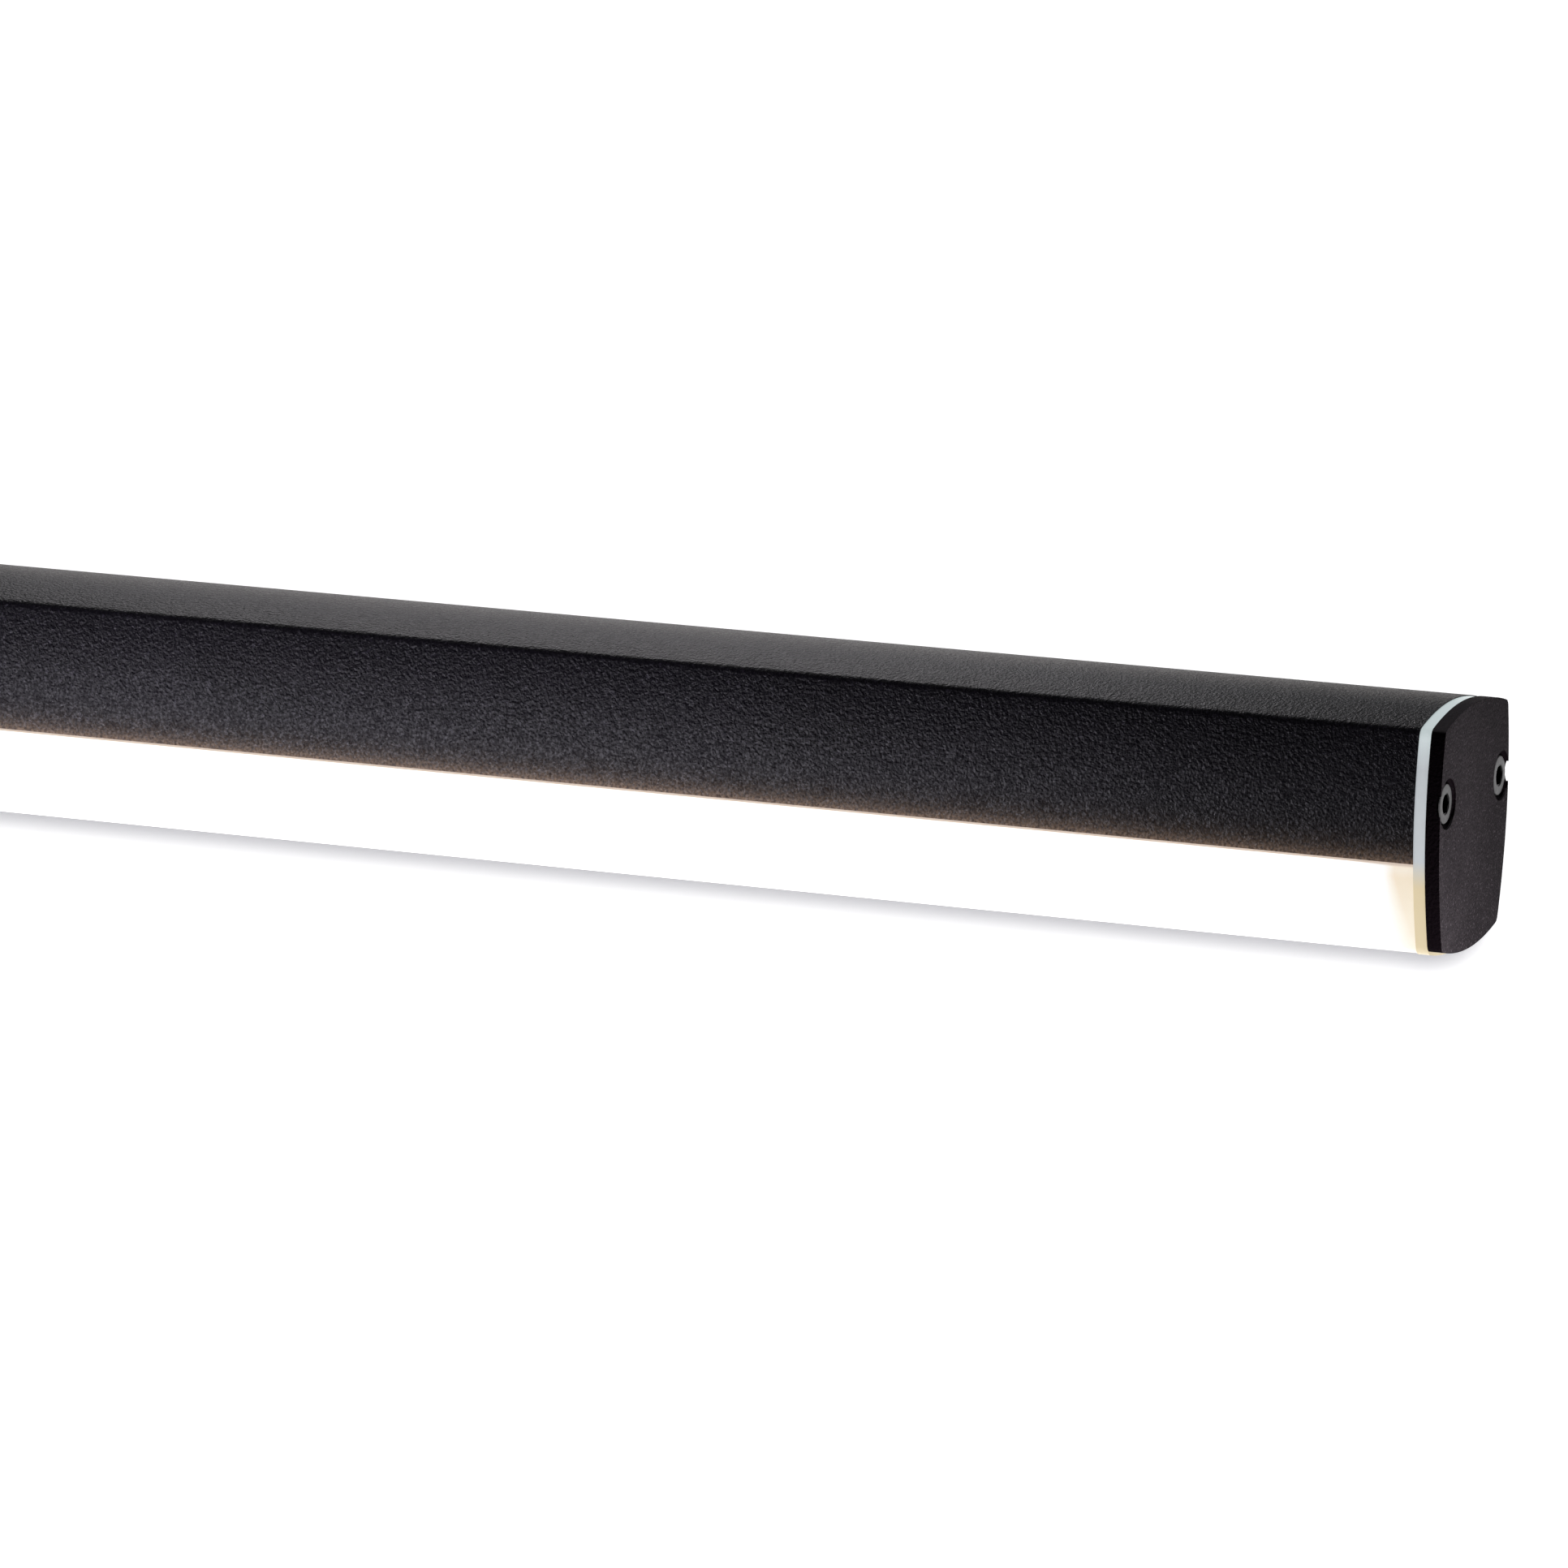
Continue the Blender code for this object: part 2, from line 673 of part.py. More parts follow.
def build_strap(material, parts, cutters):
    """Steel crossbar for the wall box: slots for its screws, bent tabs for the canopy's."""
    half = STRAP_HALF_LENGTH
    thick = STRAP_THICKNESS
    tab = STRAP_TAB_DEPTH
    side_view = [
        (-half, 0.0), (half, 0.0), (half, tab), (half - thick, tab),
        (half - thick, thick), (thick - half, thick), (thick - half, tab), (-half, tab),
    ]
    # Drawn in the X-Y plane from the wall outwards, then swept over the strap's width.
    strap = swept(
        "mounting_strap", [[(x, -depth) for x, depth in side_view]], STRAP_WIDTH, "Z",
        (0.0, 0.0, 0.0), material, parts,
    )
    middle_y = -thick / 2
    centre_hole = rod("strap_centre_hole", 5.2, 6.0, "Y", (0.0, middle_y, 0.0), cutters)
    cut(strap, centre_hole)
    ground_hole = rod("strap_ground_hole", 1.8, 6.0, "Y", (-15.0, middle_y, 0.0), cutters, 20)
    cut(strap, ground_hole)
    for side_name, side in SIDES:
        box_slot = swept(
            "strap_slot_" + side_name, [slot(SLOT_LENGTH, SLOT_WIDTH, (0.0, 0.0))], 6.0, "Y",
            (side * SLOT_SPACING / 2, middle_y, 0.0), None, cutters,
        )
        cut(strap, box_slot)
        tab_hole = rod(
            "strap_tab_hole_" + side_name, SIDE_SCREW_RADIUS + FIT_GAP, 6.0, "X",
            (side * (half - thick / 2), SIDE_SCREW_Y, 0.0), cutters,
        )
        cut(strap, tab_hole)


def build_ground_screw(material, parts):
    profile = [
        (0.0, 3.0), (3.2, 3.0), (4.0, 2.4), (4.0, 0.0), (1.7, 0.0), (1.7, -1.8), (0.0, -1.8),
    ]
    turned(
        "ground_screw", profile, "-Y", (-15.0, -STRAP_THICKNESS - FIT_GAP, 0.0),
        material, parts,
    )


# ---- electrics in the canopy --------------------------------------------------------
def build_driver(case_material, cover_material, board_material, pad_material, parts, cutters):
    """LED driver: a shell with its board and cover, on a foam pad inside the canopy."""
    front_y = PAD_BACK_Y + FIT_GAP
    back_y = front_y + DRIVER_DEPTH
    shell_back_y = back_y - DRIVER_WALL - FIT_GAP
    middle_y = (front_y + shell_back_y) / 2
    box(
        "driver_foam_pad", (50.0, PAD_THICKNESS, 16.0), (0.0, PAD_Y, DRIVER_Z),
        pad_material, parts,
    )
    case = box(
        "driver_case", (DRIVER_LENGTH, shell_back_y - front_y, DRIVER_HEIGHT),
        (0.0, middle_y, DRIVER_Z), case_material, parts,
    )
    hollow = box(
        "driver_hollow",
        (DRIVER_LENGTH - 2 * DRIVER_WALL, shell_back_y - front_y, DRIVER_HEIGHT - 2 * DRIVER_WALL),
        (0.0, middle_y + DRIVER_WALL, DRIVER_Z), None, cutters,
    )
    cut(case, hollow)
    lead_hole_z = 3.0
    for side in (-1, 1):
        for row in (-1, 1):
            hole = rod(
                "driver_lead_hole_%d%d" % (side + 1, row + 1), 1.3, 6.0, "X",
                (side * (DRIVER_LENGTH - DRIVER_WALL) / 2, -13.0, DRIVER_Z + row * lead_hole_z),
                cutters, 16,
            )
            cut(case, hole)
    box(
        "driver_cover", (DRIVER_LENGTH, DRIVER_WALL, DRIVER_HEIGHT),
        (0.0, back_y - DRIVER_WALL / 2, DRIVER_Z), cover_material, parts,
    )
    board_y = front_y + DRIVER_WALL + 1.5
    board = box(
        "driver_board", (56.0, 1.6, 20.0), (0.0, board_y, DRIVER_Z), board_material, parts,
    )
    components = (
        ("transformer", (16.0, 9.0, 15.0), 2.0),
        ("input_capacitor", (11.0, 8.0, 9.0), -16.0),
        ("output_capacitor", (9.0, 8.0, 9.0), 19.0),
    )
    for part_name, size, x in components:
        body = box(
            "driver_" + part_name, size, (x, board_y + 0.5 + size[1] / 2, DRIVER_Z),
            None, cutters,
        )
        cut(board, body, "UNION")


def build_terminal_block(material, pad_material, parts, cutters):
    """Three-pole terminal block: wire entries above and below, screw wells behind."""
    front_y = PAD_BACK_Y + FIT_GAP
    middle_y = front_y + TERMINAL_DEPTH / 2
    box(
        "terminal_pad", (24.0, PAD_THICKNESS, 12.0), (0.0, PAD_Y, TERMINAL_Z),
        pad_material, parts,
    )
    block = box(
        "terminal_block", (TERMINAL_LENGTH, TERMINAL_DEPTH, TERMINAL_HEIGHT),
        (0.0, middle_y, TERMINAL_Z), material, parts,
    )
    for pole in (-1, 0, 1):
        x = pole * TERMINAL_PITCH
        for end in (-1, 1):
            entry = rod(
                "wire_entry_%d%d" % (pole + 1, end + 1), 1.6, 8.0, "Z",
                (x, middle_y, TERMINAL_Z + end * TERMINAL_HEIGHT / 2), cutters, 16,
            )
            cut(block, entry)
            well = rod(
                "screw_well_%d%d" % (pole + 1, end + 1), 1.7, 6.0, "Y",
                (x, front_y + TERMINAL_DEPTH, TERMINAL_Z + end * 4.5), cutters, 16,
            )
            cut(block, well)


# ---- wires --------------------------------------------------------------------------
def smooth_path(points, steps=4):
    """Points on a smooth curve through the given ones."""
    guides = [Vector(p) for p in points]
    guides = [2 * guides[0] - guides[1]] + guides + [2 * guides[-1] - guides[-2]]
    path = []
    for a, b, c, d in zip(guides, guides[1:], guides[2:], guides[3:]):
        for i in range(steps):
            t = i / steps
            path.append(0.5 * (
                2 * b + (c - a) * t + (2 * a - 5 * b + 4 * c - d) * t ** 2
                + (3 * b - a - 3 * c + d) * t ** 3
            ))
    path.append(guides[-2])
    return path


def wire(name, points, material, parts, radius=WIRE_RADIUS):
    """A round insulated wire along a smooth route, closed at both ends."""
    curve = bpy.data.curves.new(name + "_route", "CURVE")
    curve.dimensions = "3D"
    curve.bevel_depth = radius * MM
    curve.bevel_resolution = 2
    curve.use_fill_caps = True
    path = smooth_path(points)
    spline = curve.splines.new("POLY")
    spline.points.add(len(path) - 1)
    for point, spot in zip(spline.points, path):
        point.co = (*(spot * MM), 1.0)
    route = bpy.data.objects.new(name + "_route", curve)
    bpy.context.scene.collection.objects.link(route)
    mesh = solid_from_curve(route, name)
    for polygon in mesh.polygons:
        polygon.use_smooth = len(polygon.vertices) == 4
    return add_object(name, mesh, material, parts)


def build_led_leads(red, black, parts):
    """The pair from the driver, through the right stem and the web, to the LED boards."""
    half_driver = DRIVER_LENGTH / 2
    for name, side, material in (("led_lead_red", 1, red), ("led_lead_black", -1, black)):
        shift = side * 1.15
        in_cavity_y = BAR_Y + 2.0
        route = [
            (half_driver - 3.0, -13.0, DRIVER_Z + side * 3.0),
            (half_driver - 0.5, -13.0, DRIVER_Z + side * 3.0),
            (half_driver + 2.0, -13.0, DRIVER_Z + side * 3.0),
            (half_driver + 6.0 - shift, -13.0 + shift, DRIVER_Z + 12.0),
            (half_driver + 2.0 - shift, -11.5 + shift, -4.0 + shift),
            (STEM_X + 5.0, -11.5 + shift, shift),
            (STEM_X, -17.0, shift),
            (STEM_X, -30.0, shift),
            (STEM_X, -50.0, shift),
            (STEM_X - 0.5, -55.5, shift),
            (STEM_X - 6.0, in_cavity_y, shift),
            (8.0, in_cavity_y - 1.0, shift),
            (0.8 - shift, BAR_Y + 0.5, -1.6 + shift),
            (-shift, BAR_Y, BAR_Z + 2.5),
            (-shift, BAR_Y, BAR_Z - 0.6),
            (1.5 - shift, BAR_Y + side * 1.9, BAR_Z + SOLDER_V),
            (7.5, BAR_Y + side * 1.9, BAR_Z + SOLDER_V),
        ]
        wire(name, route, material, parts)


def build_board_jumpers(red, black, parts):
    """Short links that carry the supply from the right LED board to the left one."""
    for name, side, material in (("board_jumper_red", 1, red), ("board_jumper_black", -1, black)):
        y = BAR_Y + side * 4.8
        route = [
            (-8.0, y, BAR_Z + SOLDER_V),
            (-4.0, y, BAR_Z + SOLDER_V - 0.2),
            (0.0, y, BAR_Z + SOLDER_V - 1.4),
            (4.0, y, BAR_Z + SOLDER_V - 0.2),
            (8.0, y, BAR_Z + SOLDER_V),
        ]
        wire(name, route, material, parts)


def build_supply_leads(live, neutral, ground, parts):
    """Leads from the terminal block to the driver and to the ground screw."""
    entry_y = PAD_BACK_Y + FIT_GAP + TERMINAL_DEPTH / 2
    entry_z = TERMINAL_Z - TERMINAL_HEIGHT / 2
    half_driver = DRIVER_LENGTH / 2
    for name, pole, row, material in (
        ("primary_lead_live", 1, 1, live), ("primary_lead_neutral", 0, -1, neutral),
    ):
        x = pole * TERMINAL_PITCH
        shift = row * 1.6
        route = [
            (x, entry_y, entry_z + 2.0),
            (x, entry_y, entry_z - 2.0),
            (x - 4.0, -12.0 + shift, 7.0 + shift),
            (-12.0, -10.0 + shift, shift),
            (-30.0, -11.0 + shift, -4.0 + shift),
            (-half_driver - 5.5 - shift, -12.0, -15.0),
            (-half_driver - 2.5, -13.0, DRIVER_Z - row * 3.0),
            (0.5 - half_driver, -13.0, DRIVER_Z - row * 3.0),
            (3.0 - half_driver, -13.0, DRIVER_Z - row * 3.0),
        ]
        wire(name, route, material, parts)
    ground_route = [
        (-TERMINAL_PITCH, entry_y, entry_z + 2.0),
        (-TERMINAL_PITCH, entry_y, entry_z - 2.0),
        (-TERMINAL_PITCH - 3.0, -9.5, 10.5),
        (-TERMINAL_PITCH - 4.0, -4.4, 8.5),
        (-TERMINAL_PITCH - 5.0, -3.1, 5.2),
    ]
    wire("ground_lead", ground_route, ground, parts)


# ---- shading ------------------------------------------------------------------------
def smooth_round_parts(parts):
    """Shade the curved skins smooth and keep the real edges sharp."""
    for obj in parts.objects:
        obj.data.shade_smooth()
        obj.data.set_sharp_from_angle(angle=math.radians(30))


def build():
    clear_scene()
    parts = new_collection("vanity_light_bar")
    cutters = new_collection("cutters")

    black_satin = make_material("housing_black", (0.035, 0.034, 0.034), 0.42, 0.0)
    cap_black = make_material("end_cap_black", (0.032, 0.031, 0.031), 0.5, 0.0)
    tube_black = make_material("stem_black", (0.035, 0.034, 0.034), 0.42, 0.0)
    canopy_black = make_material("canopy_black", (0.035, 0.034, 0.034), 0.42, 0.0)
    diffuser_white = make_material("diffuser_white", (0.93, 0.92, 0.9), 0.4)
    plate_white = make_material("end_plate_white", (0.85, 0.84, 0.81), 0.35)
    screw_steel = make_material("cap_screw_steel", (0.42, 0.42, 0.43), 0.35, 1.0)
    side_screw_black = make_material("side_screw_black", (0.03, 0.03, 0.03), 0.4, 0.8)
    zinc = make_material("zinc_steel", (0.62, 0.62, 0.6), 0.35, 1.0)
    strap_zinc = make_material("strap_zinc", (0.6, 0.6, 0.58), 0.4, 1.0)
    nipple_brass = make_material("nipple_brass", (0.72, 0.55, 0.28), 0.35, 1.0)
    led_board_white = make_material("led_board_white", (0.82, 0.82, 0.78), 0.5)
    pad_grey = make_material("thermal_pad_grey", (0.45, 0.47, 0.5), 0.8)
    rubber_black = make_material("grommet_rubber", (0.02, 0.02, 0.02), 0.7)
    driver_white = make_material("driver_case_white", (0.8, 0.8, 0.78), 0.45)
    driver_cover_white = make_material("driver_cover_white", (0.78, 0.78, 0.76), 0.45)
    board_green = make_material("driver_board_green", (0.04, 0.22, 0.08), 0.5)
    foam_grey = make_material("foam_tape_grey", (0.25, 0.25, 0.26), 0.9)
    terminal_ivory = make_material("terminal_ivory", (0.75, 0.72, 0.62), 0.5)
    ground_green = make_material("ground_screw_green", (0.05, 0.35, 0.12), 0.4, 0.8)
    red_pvc = make_material("wire_red", (0.6, 0.03, 0.02), 0.5)
    black_pvc = make_material("wire_black", (0.02, 0.02, 0.02), 0.5)
    brown_pvc = make_material("wire_brown", (0.22, 0.09, 0.03), 0.5)
    blue_pvc = make_material("wire_blue", (0.04, 0.12, 0.5), 0.5)
    green_pvc = make_material("wire_green", (0.12, 0.42, 0.06), 0.5)

    build_housing(black_satin, parts, cutters)
    build_diffuser(diffuser_white, parts)
    build_end_plates(plate_white, parts)
    build_end_caps(cap_black, parts, cutters)
    build_cap_screws(screw_steel, parts, cutters)
    build_led_boards(led_board_white, pad_grey, parts, cutters)
    build_web_grommet(rubber_black, parts)
    build_stems(tube_black, nipple_brass, zinc, parts, cutters)
    build_canopy(canopy_black, parts, cutters)
    build_side_screws(side_screw_black, parts, cutters)
    build_strap(strap_zinc, parts, cutters)
    build_ground_screw(ground_green, parts)
    build_driver(driver_white, driver_cover_white, board_green, foam_grey, parts, cutters)
    build_terminal_block(terminal_ivory, foam_grey, parts, cutters)
    build_led_leads(red_pvc, black_pvc, parts)
    build_board_jumpers(red_pvc, black_pvc, parts)
    build_supply_leads(brown_pvc, blue_pvc, green_pvc, parts)
    smooth_round_parts(parts)


build()
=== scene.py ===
"""Looks for the vanity light bar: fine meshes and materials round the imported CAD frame.

Lengths are in millimetres and become metres where a shape, lamp or material is made.
Room axes: X along the bar, Y towards the wall, Z up. Section axes: u depth, v height,
both measured from the middle of the bar's section.
"""
import math

import bmesh
import bpy
from mathutils import Matrix, Vector


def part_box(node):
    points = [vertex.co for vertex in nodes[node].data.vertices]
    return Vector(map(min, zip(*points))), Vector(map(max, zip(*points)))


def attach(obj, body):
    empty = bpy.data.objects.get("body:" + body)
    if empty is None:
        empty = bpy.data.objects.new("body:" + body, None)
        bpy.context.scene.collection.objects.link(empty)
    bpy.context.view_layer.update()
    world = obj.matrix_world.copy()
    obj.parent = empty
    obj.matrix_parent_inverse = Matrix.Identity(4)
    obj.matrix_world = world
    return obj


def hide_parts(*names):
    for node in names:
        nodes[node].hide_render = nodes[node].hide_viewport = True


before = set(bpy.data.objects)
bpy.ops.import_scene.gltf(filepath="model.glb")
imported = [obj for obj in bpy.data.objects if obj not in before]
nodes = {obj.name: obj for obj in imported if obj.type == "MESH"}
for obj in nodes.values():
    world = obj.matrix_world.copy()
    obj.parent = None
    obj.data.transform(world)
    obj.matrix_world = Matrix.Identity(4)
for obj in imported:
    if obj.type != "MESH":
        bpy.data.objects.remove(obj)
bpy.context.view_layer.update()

MM = 0.001
BLACK = (0.0, 0.0, 0.0, 1.0)
WHITE = (1.0, 1.0, 1.0, 1.0)
MERGE_DISTANCE = 1e-6       # metres

# ---- the bar's section, as in the CAD -----------------------------------------------
HALF_DEPTH = 15.6           # middle to the front wall at mid height
HALF_HEIGHT = 17.5          # middle to the top of the arch
SIDE_TAPER = 0.045          # how far the walls lean outwards for each mm of height
SIDE_RADIUS = 60.0          # bow of the front and back walls
CROWN_RADIUS = 50.0         # bow of the arched top and bottom
BODY_DROP = 0.9             # how far the lens reaches below a mirrored top
CAP_DROP = 0.25             # how far the end caps do
CREASE_RADIUS = 0.8         # rounding of the long edges
PLATE_CREASE_RADIUS = 1.1   # the same on the white end plates
WALL = 1.5
COVER_EDGE_V = -3.5         # lower edge of the cover
BEAD_TOP_V = COVER_EDGE_V + 1.0
BEAD_DEPTH = 0.4            # snap bead on the cover's skirts and on the lens's tongues
WEB_BOTTOM_V = 0.1
DIFFUSER_RECESS = 0.3       # lens behind the cover's surface
PLATE_INSET = 0.15
PORT_U = 12.3               # screw ports, one near each wall
PORT_V = 4.9

# ---- fasteners and holes ------------------------------------------------------------
SOCKET_FLATS = 2.6
SCREW_SUNK = 0.3            # cap screw heads below the cap's face
STEM_HOLE_RADIUS = 4.1


# ---- places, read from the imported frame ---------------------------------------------
def box_mm(node):
    """The low and high corners of a CAD piece's box."""
    low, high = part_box(node)
    return low / MM, high / MM


cap_low, cap_high = box_mm("end_cap_right")
plate_low = box_mm("end_plate_right")[0]
tube_low, tube_high = box_mm("standoff_tube_right")
canopy_low, canopy_high = box_mm("wall_canopy")
side_screw_low, side_screw_high = box_mm("canopy_side_screw_right")

PLATE_GAP = 0.05            # between the cover's end and the white plate
CAP_OUTER_X = cap_high.x
CAP_INNER_X = cap_low.x
PLATE_INNER_X = plate_low.x - PLATE_GAP
BAR_Y = (cap_low.y + cap_high.y) / 2
BAR_Z = cap_high.z - HALF_HEIGHT
STEM_X = (tube_low.x + tube_high.x) / 2
STEM_RADIUS = (tube_high.x - tube_low.x) / 2
CANOPY_RADIUS = canopy_high.x
CANOPY_DEPTH = -canopy_low.y
SIDE_SCREW_Y = (side_screw_low.y + side_screw_high.y) / 2
SIDES = (("left", -1), ("right", 1))

# ---- camera: a long lens, from the right and a little above -------------------------
CAMERA_YAW = math.radians(21.804)
CAMERA_PITCH = math.radians(-10.618)
CAMERA_ROLL = math.radians(-1.245)
CAMERA_PLACE = Vector((CAP_OUTER_X + 370.8, BAR_Y - 1188.1, BAR_Z + 236.2)) * MM
CAMERA_LENS = 206.34
SENSOR_WIDTH = 36.0
CLIP_START = 0.01
CLIP_END = 100.0


# ---- mesh helpers -------------------------------------------------------------------
FLAT_ANGLE = 1e-4           # radians; faces closer than this to level are one face
BEVEL_ANGLE = math.radians(35.0)
SHARP_ANGLE = math.radians(50.0)
SWEEP_TURN = {"X": (math.pi / 2, 0.0, math.pi / 2), "Y": (math.pi / 2, 0.0, 0.0)}
LATHE_TURN = {
    "+X": (0.0, math.pi / 2, 0.0),
    "-X": (0.0, -math.pi / 2, 0.0),
    "-Y": (math.pi / 2, 0.0, 0.0),
}


def link(obj):
    bpy.context.scene.collection.objects.link(obj)
    return obj


def evaluated_mesh(obj):
    """A new mesh of an object with its modifiers, or of a curve's filled outline."""
    bpy.context.view_layer.update()
    graph = bpy.context.evaluated_depsgraph_get()
    return bpy.data.meshes.new_from_object(obj.evaluated_get(graph))


def bake_modifiers(obj):
    """Replace an object's mesh by what its modifiers make of it, in room space."""
    mesh = evaluated_mesh(obj)
    mesh.transform(obj.matrix_world)
    obj.modifiers.clear()
    obj.data = mesh
    obj.matrix_world = Matrix.Identity(4)


def join_level_faces(mesh):
    """Weld a filled outline and turn its triangles into whole flat faces."""
    shape = bmesh.new()
    shape.from_mesh(mesh)
    bmesh.ops.remove_doubles(shape, verts=shape.verts, dist=MERGE_DISTANCE)
    shared = [e for e in shape.edges if len(e.link_faces) == 2]
    level = [e for e in shared if e.calc_face_angle() < FLAT_ANGLE]
    bmesh.ops.dissolve_limit(
        shape, angle_limit=FLAT_ANGLE, verts=shape.verts, edges=level, delimit=set(),
    )
    bmesh.ops.recalc_face_normals(shape, faces=shape.faces)
    shape.to_mesh(mesh)
    shape.free()


def swept(name, loops, length, axis, centre):
    """A flat outline with holes, given a thickness along a room axis."""
    curve = bpy.data.curves.new(name, "CURVE")
    curve.dimensions = "2D"
    curve.fill_mode = "BOTH"
    curve.extrude = length * MM / 2
    for loop in loops:
        spline = curve.splines.new("POLY")
        spline.points.add(len(loop) - 1)
        spline.use_cyclic_u = True
        for point, (across, up) in zip(spline.points, loop):
            point.co = (across * MM, up * MM, 0.0, 1.0)
    outline = link(bpy.data.objects.new(name + "_outline", curve))
    mesh = evaluated_mesh(outline)
    bpy.data.objects.remove(outline, do_unlink=True)
    join_level_faces(mesh)
    obj = link(bpy.data.objects.new(name, mesh))
    obj.rotation_euler = SWEEP_TURN[axis]
    obj.location = Vector(centre) * MM
    return obj


def turned(name, profile, facing, centre, segments=96):
    """Spin a profile of (radius, height) points drawn down its outer side."""
    mesh = bpy.data.meshes.new(name)
    points = [(radius * MM, 0.0, height * MM) for radius, height in profile]
    edges = [(i, i + 1) for i in range(len(points) - 1)]
    mesh.from_pydata(points, edges, [])
    obj = link(bpy.data.objects.new(name, mesh))
    spin = obj.modifiers.new("spin", "SCREW")
    spin.steps = segments
    spin.render_steps = segments
    spin.use_merge_vertices = True
    spin.merge_threshold = MERGE_DISTANCE
    obj.rotation_euler = LATHE_TURN[facing]
    obj.location = Vector(centre) * MM
    return obj


def cut(target, cutter):
    """Take one shape out of another and drop the cutter."""
    modifier = target.modifiers.new("cut", "BOOLEAN")
    modifier.operation = "DIFFERENCE"
    modifier.solver = "EXACT"
    modifier.object = cutter
    bake_modifiers(target)
    bpy.data.objects.remove(cutter, do_unlink=True)


def soften(obj, width, segments=2):
    """Round every real edge a little and keep the large faces flat in the shading."""
    bevel = obj.modifiers.new("edges", "BEVEL")
    bevel.width = width * MM
    bevel.segments = segments
    bevel.limit_method = "ANGLE"
    bevel.angle_limit = BEVEL_ANGLE
    bevel.use_clamp_overlap = True
    bake_modifiers(obj)
    obj.data.shade_smooth()
    obj.data.set_sharp_from_angle(angle=SHARP_ANGLE)
    weighted = obj.modifiers.new("flat_faces", "WEIGHTED_NORMAL")
    weighted.mode = "FACE_AREA_WITH_ANGLE"
    weighted.weight = 100
    weighted.keep_sharp = True
    bake_modifiers(obj)


# ---- outlines -----------------------------------------------------------------------
def circle(centre, radius, segments=64):
    turn = 2 * math.pi / segments
    return [
        (centre[0] + radius * math.cos(turn * i), centre[1] + radius * math.sin(turn * i))
        for i in range(segments)
    ]


def hexagon(flats):
    return circle((0.0, 0.0), flats / math.sqrt(3.0), segments=6)


def quarter_arc(centre, reach, steps=9):
    """A quarter of an ellipse, from its top outwards and down, for a turned outline."""
    angles = [math.pi / 2 * i / steps for i in range(steps + 1)]
    return [
        (centre[0] + reach[0] * math.sin(a), centre[1] + reach[1] * math.cos(a))
        for a in angles
    ]


def side_u(v, inset=0.0):
    """Depth of the bowed wall's surface at height v."""
    return HALF_DEPTH - inset + SIDE_TAPER * v - v ** 2 / (2 * SIDE_RADIUS)


def arch_v(u, up, inset=0.0, drop=0.0):
    """Height of the top arch (up = 1) or the bottom one (up = -1) at depth u."""
    return up * (HALF_HEIGHT + drop - inset - u ** 2 / (2 * CROWN_RADIUS))


def corner(up, inset=0.0, drop=0.0):
    """Where side wall and arch meet, found by going from one to the other."""
    rounds = 12
    u = HALF_DEPTH
    for _ in range(rounds):
        v = arch_v(u, up, inset, drop)
        u = side_u(v, inset)
    return Vector((u, v))


def rounding(start, bend, end, steps=8):
    """Points between start and end of a quadratic curve that rounds the corner bend."""
    start = Vector(start)
    end = Vector(end)
    points = []
    for i in range(1, steps):
        t = i / steps
        spot = start * (1 - t) ** 2 + bend * 2 * t * (1 - t) + end * t ** 2
        points.append((spot.x, spot.y))
    return points


def mirrored(points):
    """The same points at the other wall."""
    return [(-u, v) for u, v in points]


def half_pillow(up, start_v, inset=0.0, drop=0.0, radius=CREASE_RADIUS):
    """Half of the outline: along one wall, over the arch (up or down), back at the other."""
    side_steps = 24
    arch_steps = 32
    crease = corner(up, inset, drop)
    end_v = crease.y - up * radius
    heights = [start_v + (end_v - start_v) * i / side_steps for i in range(side_steps + 1)]
    side = [(side_u(v, inset), v) for v in heights]
    reach = crease.x - radius
    depths = [reach - 2 * reach * i / arch_steps for i in range(arch_steps + 1)]
    arch = [(u, arch_v(u, up, inset, drop)) for u in depths]
    side += rounding(side[-1], crease, arch[0])
    return side + arch + mirrored(side)[::-1]


def full_pillow(inset=0.0, drop=0.0, radius=CREASE_RADIUS):
    """The whole outline; only its lower half hangs down by drop."""
    lower = half_pillow(-1, 0.0, inset, drop, radius)
    return half_pillow(1, 0.0, inset, 0.0, radius) + lower[::-1][1:-1]


# ---- node helpers -------------------------------------------------------------------
def tint(colour, factor=1.0):
    """A colour made lighter or darker, with the alpha that a socket wants."""
    return tuple(c * factor for c in colour) + (1.0,)


